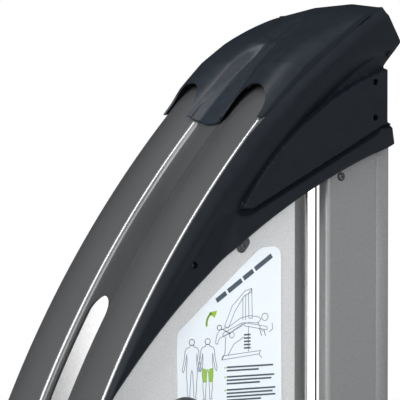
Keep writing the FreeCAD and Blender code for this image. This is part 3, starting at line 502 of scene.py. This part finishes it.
def screws():
    """Socket screws: deep in the covers' holes, and on washers on the sheet metal."""
    heads, washers, wells = [], [], []
    head = [(0.1, 0.9), (2.0, 0.9), (2.2, 2.4), (3.2, 2.3), (4.2, 1.6), (4.5, 0.6), (4.5, -4)]
    well = [(0.1, 0), (5.4, 0), (5.4, 9), (6.4, 9), (6.4, -1.2), (0.1, -1.2)]
    washer = [(4.0, 0.4), (6.6, 0.8), (7.0, 0.4), (7.0, -0.6)]
    for side in (-1, 1):
        out = (0, side, 0)
        for x, z in holes_on(side):
            heads.append(lathe("head", head, at(x, side * WELL_Y, z), out, 32))
            wells.append(lathe("well", well, at(x, side * WELL_Y, z), out, 32))
        for x, z in SCREWS[side > 0:]:
            heads.append(lathe("head", head, at(x, side * SHEET_Y, z), out, 32))
            washers.append(lathe("washer", washer, at(x, side * SHEET_Y, z), out, 32))
    piece("screw_heads", joined("screw_heads", heads), "dark_steel", instead=["tower_screws"])
    piece("screw_washers", joined("screw_washers", washers), "black_plastic")
    piece("screw_wells", joined("screw_wells", wells), "shell")


def stadium(u, v, half, radius, tilt, steps=14):
    """An upright pill outline, tilted from the vertical."""
    points = []
    for i in range(2 * steps):
        a = pi * i / (steps - 1) if i < steps else pi + pi * (i - steps) / (steps - 1)
        y = (half if i < steps else -half) + radius * sin(a)
        x = radius * cos(a)
        points.append((u + x * cos(tilt) - y * sin(tilt), v + x * sin(tilt) + y * cos(tilt)))
    return points


def near_face(y):
    """Places (x, z, lift) points on the tower's near side, at y."""
    return lambda u, v, lift: at(u, y - lift, v)


screws()
clip = plate("panel_clip", stadium(-269, 1124, 5, 8.5, radians(-38)), near_face(-SHEET_Y), 1.0)
piece("panel_clip", clip, "dark_steel")
for side, tag in ((-1, "near"), (1, "far")):
    trim = plate("hem", [(-23, 84), (0.2, 84), (0.2, 1299), (-23, 1299)],
                 lambda u, v, lift, s=side: at(u, s * (SHEET_Y + lift), v), 0.8)
    trim = modified(trim, ("BEVEL", {"width": 0.5 * MM, "segments": 2, "limit_method": "ANGLE"}))
    piece(f"column_hem_{tag}", trim, "column")


# -------------------- placard graphics

SHEET = near_face(-119.8)


def line(points, width=1.1, lift=0.16):
    """A flat line on the placard: one plate per straight run, overlapping a little at the turns."""
    runs = []
    for a, b in zip(points, points[1:]):
        a, b = Vector(a), Vector(b)
        way = (b - a).normalized()
        side = Vector((-way.y, way.x)) * width / 2
        a, b = a - way * min(width, 1.2) * 0.35, b + way * min(width, 1.2) * 0.35
        runs.append(plate("run", [tuple(a + side), tuple(a - side), tuple(b - side), tuple(b + side)], SHEET, lift))
    return joined("line", runs)


def loop(points, width=1.1):
    return line(list(points) + [points[0]], width)


def disc(x, z, radius, steps=24):
    return [(x + radius * cos(2 * pi * i / steps), z + radius * sin(2 * pi * i / steps))
            for i in range(steps)]


def bar(x, z, wide, tall):
    return plate("bar", [(x, z), (x + wide, z), (x + wide, z + tall), (x, z + tall)], SHEET, 0.16)


def figure(x, top):
    """A plain upright pictogram, head to feet, 92 mm tall."""
    half = [(0, -9), (3, -10), (4, -12), (10, -14), (12, -18), (13, -28), (15, -38), (17, -46), (15.5, -50),
            (13.5, -47), (11.5, -38), (9.6, -28), (9, -23), (8.4, -32), (9.4, -44), (9.6, -56), (8.2, -66),
            (8.4, -76), (6.6, -88), (7.6, -92), (3.6, -92), (3.4, -78), (2.4, -66), (1.6, -52), (0, -47)]
    outline = [(x + u, top + v) for u, v in half] + [(x - u, top + v) for u, v in reversed(half[1:-1])]
    return [loop(outline), loop(disc(x, top - 5, 4.6))]


def placard_art():
    grey, green, pale = [], [], []
    for x in (-361, -333):
        pale += figure(x, 985)
    for side in (-1, 1):
        green.append(plate("thigh", [(-333 + side * 1.8, 938), (-333 + side * 8.8, 940), (-333 + side * 9.2, 929),
                                     (-333 + side * 7.6, 918), (-333 + side * 2.8, 919)][::side], SHEET, 0.2))
    # the machine: tower, bench, legs, base and lever
    pale += [loop([(-303, 1001), (-289, 1032), (-266, 1054), (-255, 1057), (-254, 1052), (-268, 1046), (-284, 1024),
                   (-296, 999)]),
             loop([(-254, 1057), (-253, 1012), (-259, 1012), (-260, 1050)]), line([(-270, 1044), (-270, 1010)]),
             line([(-265, 1048), (-265, 1010)]),
             loop([(-306, 991), (-271, 1006), (-272, 1001), (-305, 986)]),
             loop([(-268, 1006), (-226, 998), (-226, 993), (-268, 1001)]),
             line([(-222, 990), (-216, 994), (-217, 1003)], 1.2),
             line([(-301, 985), (-302, 962), (-307, 951)], 1.2), line([(-260, 1000), (-260, 962)], 1.2),
             line([(-297, 957), (-286, 974), (-268, 984)], 1.2),
             loop([(-308, 951), (-240, 957), (-238, 962), (-306, 957)]), line([(-241, 957), (-236, 951)], 1.2)]
    grey += [loop(disc(-312, 1000, 3.8), 1.0), line([(-308, 998), (-292, 990)]), loop(disc(-290, 988, 4.5), 0.8),
             line([(-240, 996), (-236, 985)], 1.1), line([(-232, 994), (-229, 984)], 1.1)]
    for row in range(5):
        grey.append(bar(-268, 966 + 5 * row, 12, 2.4))
    # a lying pictogram on the bench
    pale += [loop([(-312, 996), (-296, 1000), (-274, 1013), (-258, 1016), (-243, 1014), (-237, 1010), (-243, 1004),
                   (-258, 1006), (-272, 1003), (-292, 992), (-312, 984), (-316, 975), (-319, 977), (-317, 988)]),
             loop(disc(-230, 1013, 5.6)), line([(-243, 1006), (-238, 996), (-233, 991)], 1.0)]
    sweep = [(-322 + 13 * cos(radians(a)), 1006 + 17 * sin(radians(a)))
             for a in range(190, 108, -8)]
    green.append(line(sweep, 3.4))
    green.append(plate("head", [(-331, 1024), (-316, 1026), (-321, 1015)][::-1], SHEET, 0.16))
    # rows of plain bars where a card carries its notes
    for index, (rows, wide) in enumerate(((2, 84), (3, 86), (4, 88), (2, 82), (1, 70), (3, 86), (2, 80))):
        base = 938 - sum((2, 3, 4, 2, 1, 3, 2)[:index]) * 5.2 - index * 4.2
        green.append(bar(-303, base - 0.5, 2.2, 2.6))
        for row in range(rows):
            grey.append(bar(-299, base - 5.2 * row, wide - (26 if row == rows - 1 else 5 * (row % 2)), 2.6))
    for row in range(7):
        grey.append(bar(-373, 874 - 5.2 * row, 60 - 9 * (row % 3 == 2), 2.4))
    grey.append(bar(-356, 888, 44, 1.2))
    for start, end in ((0, 0.17), (0.21, 0.45), (0.49, 0.66), (0.70, 1)):
        grey.append(line([(-317 + 99 * start, 1041 + 65 * start), (-317 + 99 * end, 1041 + 65 * end)], 7.5))
    for name, meshes, finish in (("placard_dark_marks", grey, "ink"), ("placard_lines", pale, "pale_ink"),
                                 ("placard_green_marks", green, "green_ink")):
        piece(name, joined(name, meshes), finish)


placard_art()


# -------------------- structural pieces with eased edges

BODY_OF = {node: body for body, nodes in frame["record"]["behaviour"]["bodies"].items() for node in nodes}


def eased(node, finish, width=2.0, segments=3, flat=1.0):
    """The CAD piece's shape with its sharp edges rounded, standing for the CAD node."""
    mesh = NODES[node].data.copy()
    bm = bmesh.new()
    bm.from_mesh(mesh)
    bmesh.ops.remove_doubles(bm, verts=bm.verts, dist=2e-6)
    bmesh.ops.dissolve_limit(bm, angle_limit=radians(flat), verts=bm.verts, edges=bm.edges)
    bm.to_mesh(mesh)
    bm.free()
    mesh = modified(mesh, ("BEVEL", {"width": width * MM, "segments": segments, "limit_method": "ANGLE",
                                     "angle_limit": radians(40)}))
    piece(f"{node}_eased", mesh, finish, BODY_OF[node], [node], angle=30)


EASED = {
    "frame_grey": {"lever_post": 3, "bench_spine": 4, "cross_bars": 5, "base_rail": 4, "rear_upright": 4,
                   "front_leg": 4, "roller_carriage": 2.5, "lever_arm": 3, "head_bar": 3, "cam": 1.2,
                   "start_disc": 1},
    "black_paint": {"tower_base": 1.6, "top_plate": 1, "base_pulley_brackets": 1, "cable_guard": 0.4},
    "iron": {"resting_plates": 2, "lifted_plates": 2, "head_plate": 3, "counterweight": 3},
    "black_plastic": {"leg_foot": 4, "tube_boots": 2.5, "carriage_knob": 2},
    "chrome": {"start_pin": 1.5, "lever_axle": 1.5, "roller_axle": 2},
    "dark_steel": {"selector_pin": 2},
    "board": {"pad_boards": 2},
}
for finish, widths in EASED.items():
    for node, width in widths.items():
        eased(node, finish, width)


# -------------------- tower tubes

TUBE_MID, TUBE_HALF, TUBE_DEEP, TUBE_OUT = 87.5, 52.0, 25.0, 1683.5
TUBE_ROUND, TUBE_CROWN = 11.0, 4.0
TUBE_ANGLES = (-5.1, 46)


def tube_section(steps=10, face=16):
    """(y, depth) points round the flattened tube: rounded edges and a softly crowned outer face."""
    half, round_, deep = TUBE_HALF, TUBE_ROUND, TUBE_DEEP
    points = []
    for k in range(face):
        y = (half - round_) * (1 - 2 * k / (face - 1))
        points.append((y, TUBE_CROWN * (y / (half - round_)) ** 2))
    for cy, cd, first in ((-half + round_, TUBE_CROWN + round_, 270), (-half + round_, deep - round_, 180),
                          (half - round_, deep - round_, 90), (half - round_, TUBE_CROWN + round_, 0)):
        for k in range(1 if first == 270 else 0, steps if first else steps - 1):
            a = radians(first - 90 * k / (steps - 1))
            points.append((cy + round_ * cos(a), cd + round_ * sin(a)))
    return points


def tower_tube(node, mid):
    """One flattened tube, swept along the tower's arc."""
    section = tube_section()
    count, rows = len(section), 220
    low, high = (radians(angle) for angle in TUBE_ANGLES)
    verts = []
    for r in range(rows):
        a = low + (high - low) * r / (rows - 1)
        for y, deep in section:
            radius = TUBE_OUT - deep
            verts.append(at(ARC_X - radius * cos(a), mid + y, ARC_Z + radius * sin(a)))
    mesh = tidy(mesh_from(f"{node}_face", verts, ended_faces(rows, count)), 1e-7)
    piece(f"{node}_face", mesh, "tube_grey", instead=[node], angle=50)


for side, tag in ((-1, "near"), (1, "far")):
    tower_tube(f"tower_tube_{tag}", side * TUBE_MID)


# -------------------- upholstery

HIP_Z = 660
HIP = at(-500, BENCH_Y, HIP_Z)
THIGH_TILT, CHEST_TILT = radians(19.1), radians(-8.8)
PAD_HALF, PAD_THICK, PAD_CORNER, WELT_DEPTH = 155, 60, 42, -11


def slope(tilt):
    """Along, across and up directions of a bench slope through the hip."""
    return (Vector((cos(tilt), 0, sin(tilt))), Vector((0, 1, 0)),
            Vector((-sin(tilt), 0, cos(tilt))))


def puffed(node, up=None, swell=5.0, voxel=0.006):
    """The pad's foam form swollen by its own cloth pass; it stays flat on what it rests on."""
    mesh = modified(NODES[node].data.copy(), ("REMESH", {"mode": "VOXEL", "voxel_size": voxel}),
                    ("SMOOTH", {"factor": 0.5, "iterations": 6}),
                    ("DISPLACE", {"strength": -0.0035, "mid_level": 0}))
    start = [v.co.copy() for v in mesh.vertices]
    obj = added("pressing", mesh)
    bpy.context.view_layer.objects.active = obj
    cloth = obj.modifiers.new("cloth", "CLOTH")
    cloth.settings.use_pressure = True
    cloth.settings.uniform_pressure_force = 4
    cloth.settings.effector_weights.gravity = 0
    cloth.point_cache.frame_start, cloth.point_cache.frame_end = 1, 20
    for number in range(1, 21):
        bpy.context.scene.frame_set(number)
    mesh = bpy.data.meshes.new_from_object(obj.evaluated_get(bpy.context.evaluated_depsgraph_get()))
    bpy.data.objects.remove(obj)
    bpy.context.scene.frame_set(1)
    for vertex, rest in zip(mesh.vertices, start):
        move = vertex.co - rest
        if move.length > swell * MM:
            move *= swell * MM / move.length
        if up is not None:
            bottom = (rest - HIP).dot(up) + PAD_THICK * MM
            if bottom < 0.012 and move.dot(up) < 0:
                move -= up * move.dot(up)
        vertex.co = rest + move
    return modified(mesh, ("SMOOTH", {"factor": 0.5, "iterations": 3}),
                    ("SUBSURF", {"levels": 1, "render_levels": 1}))


def ring_path(u0, u1, half, radius, step=5.0):
    """Points (u, v) round a rounded rectangle, evenly spaced, in mm."""
    corners = [(u1 - radius, half - radius, 0), (u0 + radius, half - radius, 90),
               (u0 + radius, -half + radius, 180), (u1 - radius, -half + radius, 270)]
    outline = []
    for cx, cy, first in corners:
        for k in range(9):
            a = radians(first + 90 * k / 8)
            outline.append((cx + radius * cos(a), cy + radius * sin(a), 0))
    outline.append(outline[0])
    total = sum((Vector(b) - Vector(a)).length for a, b in zip(outline, outline[1:]))
    count = int(total / step)
    return [along(outline, i / count) for i in range(count)]


def tube_on(points, radius, closed=True, sides=8):
    """A thin round cord through points in metres."""
    count = len(points)
    verts, faces = [], []
    normal = Vector((0, 0, 1))
    for i, point in enumerate(points):
        after = points[(i + 1) % count] if closed else points[min(count - 1, i + 1)]
        before = points[i - 1] if closed or i else points[0]
        way = (after - before).normalized()
        normal = (normal - way * normal.dot(way)).normalized()
        across = way.cross(normal)
        for k in range(sides):
            a = 2 * pi * k / sides
            verts.append(point + (normal * cos(a) + across * sin(a)) * radius * MM)
    loops = count if closed else count - 1
    for i in range(loops):
        j = (i + 1) % count
        faces += [(i * sides + k, j * sides + k, j * sides + (k + 1) % sides, i * sides + (k + 1) % sides)
                  for k in range(sides)]
    if not closed:
        faces += [tuple(range(sides)), tuple(range((count - 1) * sides, count * sides))]
    return tidy(mesh_from("cord", verts, faces), 1e-8)


def dash(start, end, out, wide=1.1, tall=0.7):
    """One stitch: a small rounded ridge from start to end, standing along out."""
    way = (end - start).normalized()
    across = way.cross(out).normalized()
    verts, rings = [], 7
    for i in range(rings):
        t = i / (rings - 1)
        swell = sqrt(max(0.02, 1 - (2 * t - 1) ** 4))
        centre = start.lerp(end, t) - out * 0.25 * MM
        for k in range(6):
            a = 2 * pi * k / 6
            verts.append(centre + (across * cos(a) * wide / 2 + out * sin(a) * tall) * MM * swell)
    return verts, ended_faces(rings, 6)


def stitches(spots):
    """Dashes along surface points [(point, normal)], two of every three taken up by thread."""
    verts, faces = [], []
    for i in range(len(spots)):
        (a, na), (b, nb) = spots[i], spots[(i + 1) % len(spots)]
        if a is None or b is None or (b - a).length > 0.012:
            continue
        new_verts, new_faces = dash(a.lerp(b, 0.1), a.lerp(b, 0.75), (na + nb).normalized())
        faces += [tuple(v + len(verts) for v in face) for face in new_faces]
        verts += new_verts
    return tidy(mesh_from("thread", verts, faces), 1e-8)


def tree_of(mesh):
    """The mesh as a tree that rays can be cast at."""
    return BVHTree.FromPolygons([v.co for v in mesh.vertices], [tuple(p.vertices) for p in mesh.polygons])


def struck(tree, start, way):
    """Where a ray first meets the surface, and its normal there."""
    hit = tree.ray_cast(start, way, 0.3)
    return (hit[0], hit[1]) if hit[0] else (None, None)


def bench_pad(name, node, tilt):
    """One bench pad: swollen body, welt round its top edge and twin stitch lines inside it."""
    u_way, v_way, w_way = slope(tilt)
    mesh = puffed(node, w_way)
    reach = [(vertex.co - HIP).dot(u_way) / MM for vertex in mesh.vertices]
    u0, u1 = min(reach), max(reach)
    welt_u0, welt_u1 = (u0, u1 - 2) if tilt > 0 else (u0 + 2, u1)
    tree = tree_of(mesh)

    def spot(u, v, w):
        return HIP + (u_way * u + v_way * v + w_way * w) * MM

    rim = []
    for point in ring_path(welt_u0 + 1, welt_u1 - 1, PAD_HALF - 1, PAD_CORNER, 4.0):
        inward = Vector((max(welt_u0 + 60, min(welt_u1 - 60, point.x)) - point.x,
                         max(-PAD_HALF + 60, min(PAD_HALF - 60, point.y)) - point.y))
        way = (u_way * inward.x + v_way * inward.y).normalized()
        found, _ = struck(tree, spot(point.x, point.y, WELT_DEPTH) - way * 0.03, way)
        if found:
            rim.append(found)
    # the seam draws the cover in along the welt
    rim_tree = KDTree(len(rim))
    for index, point in enumerate(rim):
        rim_tree.insert(point, index)
    rim_tree.balance()
    normals = [vertex.normal.copy() for vertex in mesh.vertices]
    for vertex, normal in zip(mesh.vertices, normals):
        far = rim_tree.find(vertex.co)[2] / MM
        if far < 14:
            vertex.co -= normal * 1.6 * MM * exp(-(far / 4.5) ** 2)
    piece(name, mesh, "vinyl", instead=[node], angle=80)
    piece(f"{name}_welt", tube_on(rim, 1.7), "vinyl", angle=80)
    tree = tree_of(mesh)
    threads = []
    for inset in (13, 19):
        path = ring_path(welt_u0 + inset, welt_u1 - inset, PAD_HALF - inset, PAD_CORNER - inset * 0.8, 5.0)
        threads.append(stitches([struck(tree, spot(p.x, p.y, 40), -w_way) for p in path]))
    piece(f"{name}_stitches", joined("stitches", threads), "thread", angle=80)


def roller_pad(name, node, body):
    """A roller: swollen foam sleeve with a welt and a stitch ring at each end, and end discs."""
    mesh = puffed(node, None, 4.0, 0.005)
    low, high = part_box(node)
    mid = (low + high) / 2
    welts, threads, discs = [], [], []
    tree = tree_of(mesh)

    def ring(y, count):
        outs = [Vector((cos(2 * pi * i / count), 0, sin(2 * pi * i / count)))
                for i in range(count)]
        return [struck(tree, Vector((mid.x, y, mid.z)) + out * 0.1, -out) for out in outs]

    for side, edge in ((-1, low.y), (1, high.y)):
        welts.append(tube_on([found for found, _ in ring(edge - side * 7 * MM, 72)], 1.6))
        threads.append(stitches(ring(edge - side * 15 * MM, 84)))
        discs.append(lathe("disc", [(11, 3), (13, 4.5), (34, 4.2), (37, 3), (38, 0.5), (38, -4)],
                           (mid.x, edge - side * 2.5 * MM, mid.z), (0, side, 0), 48))
    piece(name, mesh, "vinyl", body, [node], angle=80)
    piece(f"{name}_welts", joined("welts", welts), "vinyl", body, angle=80)
    piece(f"{name}_stitches", joined("stitches", threads), "thread", body, angle=80)
    piece(f"{name}_end_discs", joined("discs", discs), "black_plastic", body, angle=40)


bench_pad("thigh_cushion", "thigh_pad", THIGH_TILT)
bench_pad("chest_cushion", "chest_pad", CHEST_TILT)
roller_pad("roller_cushion_far", "roller_pad_far", "roller_far")
roller_pad("roller_cushion_near", "roller_pad_near", "roller_near")


# -------------------- grips, feet, caps and bolts

def grips():
    """Moulded rubber sleeves with ribs and a flange at the mouth, on the two handles."""
    sleeves = []
    top, foot = Vector((-12, 0, 361.3)), Vector((-58, 0, 252.8))
    length = (foot - top).length
    profile = [(16.1, 1), (19, 0), (22.5, 1), (23.5, 3), (22.5, 5.5), (19, 7)]
    ribs = 12
    for k in range(ribs):
        base = 9 + (length - 20) * k / ribs
        wide = (length - 20) / ribs
        profile += [(18.2, base), (19.6, base + 0.25 * wide), (19.6, base + 0.7 * wide), (18.2, base + 0.95 * wide)]
    profile += [(19.2, length - 8), (19.2, length - 3), (17.5, length), (14, length + 0.8), (0.1, length + 1)]
    for side in (-1, 1):
        foot_point = at(top.x, BENCH_Y + side * 222, top.z)
        sleeves.append(lathe("sleeve", profile, foot_point, foot - top, 40))
    piece("grip_sleeves", joined("grip_sleeves", sleeves), "rubber", instead=["handle_grips"],
          angle=45)


# x, y and height of each foot
FEET = [(-600, -95, 22), (-600, 95, 22), (-40, -95, 22), (-40, 95, 22), (-950, -690, 22), (-950, 30, 22),
        (-452, -610, 22), (-85, BENCH_Y, 18), (-1060, BENCH_Y, 18), (-290, BENCH_Y, 72)]


def feet():
    """Turned rubber feet with a rolled base and a waist."""
    made = []
    for x, y, tall in FEET:
        profile = [(0.1, 0), (25, 0), (28, 0.8), (29, 3), (28.6, 6), (26, 9), (25.4, 11), (26.5, tall - 2.5),
                   (26, tall - 0.6), (24, tall), (0.1, tall)]
        if tall > 40:
            profile = profile[:7] + [(24.5, 20), (24, 40), (24.5, 60), (27, tall - 3), (26, tall), (0.1, tall)]
        made.append(lathe("foot", profile, at(x, y, 0), (0, 0, 1), 48))
    piece("rubber_foot_pads", joined("rubber_foot_pads", made), "rubber", instead=["rubber_feet"],
          angle=40)


def end_plug(centre, way, up, wide, tall, sheet=2.2):
    """A moulded plug in the mouth of a rectangular tube, its face a little domed."""
    out = Vector(way).normalized()
    high = Vector(up).normalized()
    side = out.cross(high)
    verts = []
    rings = [(0.0, -1.0), (0.0, 0.8), (0.7, 1.6), (2.2, sheet), (8, sheet + 0.5), (13, sheet + 0.6)]
    for inset, lift in rings:
        a, b = wide / 2 - inset, tall / 2 - inset
        radius = max(0.6, 4.5 - inset)
        for cx, cy, first in ((a - radius, b - radius, 0), (-a + radius, b - radius, 90),
                              (-a + radius, -b + radius, 180), (a - radius, -b + radius, 270)):
            for k in range(5):
                t = radians(first + 22.5 * k)
                verts.append(Vector(centre) + (side * (cx + radius * cos(t)) + high * (cy + radius * sin(t))
                                               + out * lift) * MM)
    return tidy(mesh_from("plug", verts, ended_faces(len(rings), 20)), 1e-8)


def plugs():
    """Plugs in the open ends of the cross bars, the bench spine and the head bar."""
    made = []
    for y, way in ((-715, -1), (60, 1)):
        made.append(end_plug(at(-950, y, 47), (0, way, 0), (0, 0, 1), 60, 50))
    made.append(end_plug(at(-452, -640, 47), (0, -1, 0), (0, 0, 1), 60, 50))
    spine_z = HIP_Z - 592 * tan(THIGH_TILT) - 100 / cos(THIGH_TILT)
    made.append(end_plug(at(-1092, BENCH_Y, spine_z), (-1, 0, 0), (0, 0, 1), 60, 50 / cos(THIGH_TILT)))
    made.append(end_plug(at(261, BENCH_Y, 640), (0, 0, 1), (1, 0, 0), 56, 50))
    piece("tube_plugs", joined("tube_plugs", made), "black_plastic")


def bolt(centre, way, size=13.0, turn=0.3):
    """A hex head with a domed top on a washer."""
    meshes = [lathe("washer", [(size * 0.45, 0.3), (size * 0.78, 1.8), (size * 0.86, 1.4), (size * 0.88, -0.4)],
                    centre, way, 32)]
    out = Vector(way).normalized()
    base = Vector((0, 0, 1)).rotation_difference(out)
    verts = []
    for inset, lift in ((0, 1.6), (0, 6.6), (0.07, 7.6), (0.3, 8.2)):
        for k in range(24):
            a = 2 * pi * k / 24 + turn
            flat = cos(pi / 6) / cos((a - turn) % (pi / 3) - pi / 6)
            radius = size / sqrt(3) * flat * (1 - inset)
            verts.append(Vector(centre) + base @ Vector((radius * cos(a), radius * sin(a), lift)) * MM)
    meshes.append(tidy(mesh_from("hex", verts, ended_faces(4, 24)), 1e-8))
    return meshes


def bolts():
    """Bolts of the bearing blocks, the lever post's foot, the bench supports and the cross bars."""
    root = []
    for x in (-954, -906):
        for y in (-294, -258):
            root += bolt(at(x, y, 598), (0, 0, 1), 11)
    for x, y in ((-1030, -296), (-1030, -216), (-892, -296), (-892, -216)):
        root += bolt(at(x, y, 80), (0, 0, 1), 13)
    for x, z in ((-1060, 250), (-290, 140), (-1060, 330), (-290, 470)):
        for side in (-1, 1):
            root += bolt(at(x, BENCH_Y + side * 30, z), (0, side, 0), 13)
    for x, y, z in ((-690, 0, 38), (-950, -30, 72), (-950, 20, 72)):
        root += bolt(at(x, y, z), (0, 0, 1), 13)
    piece("frame_bolts", joined("frame_bolts", root), "zinc")


grips()
feet()
plugs()
bolts()


# -------------------- cables

CABLE_R, CABLE_GAP = 2.4, 3.6


def stack_cable_pair():
    """The two falls from the top pulley to the stack's yoke."""
    low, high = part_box("stack_cables")
    mid = (low + high) / 2
    half = Vector((high.x - low.x, high.y - low.y, 0)) / 2 - Vector((CABLE_R, CABLE_R, 0)) * MM
    node = NODES["stack_cables"].data
    corner = max((v.co for v in node.vertices), key=lambda co: co.x)
    lean = 1 if corner.y > mid.y else -1
    falls = []
    for side in (-1, 1):
        spot = Vector((mid.x + side * half.x, mid.y + side * lean * half.y, 0))
        falls.append(tube_on([Vector((spot.x, spot.y, low.z + (high.z - low.z) * i / 40)) for i in range(41)],
                             CABLE_R, False, 12))
    mesh = joined("stack_cable_falls", falls)
    mesh.shade_smooth()
    obj = added("stack_cable_falls", mesh)
    obj.data.materials.append(MATS["jacket"])
    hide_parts("stack_cables")
    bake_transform(obj)


def cam_leads():
    """The standing part of each cable on the cam, which the moving part turns past."""
    leads = []
    for side in (-1, 1):
        points = []
        for i in range(41):
            a = radians(180 - 120 * i / 40)
            points.append(at(-930 + 120 * cos(a), -230 + side * CABLE_GAP, 560 + 120 * sin(a)))
        leads.append(tube_on(points, CABLE_R - 0.06, False, 12))
    piece("cam_cable_leads", joined("cam_cable_leads", leads), "jacket")


stack_cable_pair()
cam_leads()


# -------------------- stage, light and camera

def stage():
    """A pale round floor."""
    bpy.ops.mesh.primitive_circle_add(vertices=96, radius=6.5, fill_type="NGON", location=(0, 0, 0))
    floor = bpy.context.object
    floor.name = "floor"
    mat, _, shader = nodes_of("floor_white")
    given(shader, {"Base Color": (0.82, 0.82, 0.82, 1), "Roughness": 0.6, "Emission Color": (1, 1, 1, 1),
                   "Emission Strength": 0.2})
    floor.data.materials.append(mat)


def studio():
    """White to the camera; as light, dim from behind and brighter from the left and front."""
    world = bpy.data.worlds.new("studio")
    world.use_nodes = True
    tree = world.node_tree
    add, wire = tree.nodes.new, tree.links.new
    out = tree.nodes["World Output"]
    seen = tree.nodes["Background"]
    seen.inputs["Color"].default_value = (1, 1, 1, 1)
    lit = add("ShaderNodeBackground")
    where = add("ShaderNodeTexCoord")
    facing = add("ShaderNodeVectorMath")
    facing.operation = "DOT_PRODUCT"
    facing.inputs[1].default_value = (-0.72, -0.69, 0.05)
    span = given(add("ShaderNodeMapRange"), {"From Min": -0.65, "From Max": 0.55, "To Min": 0.03, "To Max": 0.70})
    wire(where.outputs["Generated"], facing.inputs[0])
    wire(facing.outputs["Value"], span.inputs["Value"])
    wire(span.outputs["Result"], lit.inputs["Strength"])
    lit.inputs["Color"].default_value = (0.93, 0.96, 1.0, 1)
    mix = add("ShaderNodeMixShader")
    path = add("ShaderNodeLightPath")
    wire(path.outputs["Is Camera Ray"], mix.inputs["Fac"])
    wire(lit.outputs["Background"], mix.inputs[1])
    wire(seen.outputs["Background"], mix.inputs[2])
    wire(mix.outputs["Shader"], out.inputs["Surface"])
    bpy.context.scene.world = world


def lamp(name, spot, aim, size, power):
    """A rectangular soft light at spot, turned towards aim."""
    data = bpy.data.lights.new(name, "AREA")
    data.shape = "RECTANGLE"
    data.size, data.size_y = size
    data.energy = power
    obj = added(name, data)
    obj.location = spot
    obj.rotation_mode = "QUATERNION"
    obj.rotation_quaternion = (Vector(aim) - Vector(spot)).to_track_quat("-Z", "Y")
    obj.visible_camera = False


def camera():
    """A long lens, 32 degrees round from the tower's near side and a little above its shoulder."""
    data = bpy.data.cameras.new("camera")
    data.sensor_width, data.lens = 36, 270
    data.clip_end = 60
    obj = added("camera", data)
    obj.location = at(-2728.6, -3931.9, 1381.2)
    obj.rotation_euler = (radians(90 - 2.39), 0, radians(-32))
    bpy.context.scene.camera = obj


stage()
studio()
target = at(-250, 0, 1150)
lamp("strip_left", target + Vector((-2.3, -0.35, 2.1)), target, (0.7, 2.8), 210)
lamp("strip_low", target + Vector((-2.9, -1.2, 0.9)), target + Vector((-0.2, 0, -0.3)), (0.5, 2.2), 80)
lamp("soft_front", target + Vector((-1.2, -4.0, 1.6)), target, (2.2, 2.2), 95)
lamp("soft_right", target + Vector((3.2, -2.4, 1.4)), target, (1.6, 2.4), 15)
lamp("tower_inside", at(-200, -20, 950), at(-200, 120, 950), (0.3, 1.0), 2.5)
camera()
bpy.context.scene.view_settings.view_transform = "Standard"
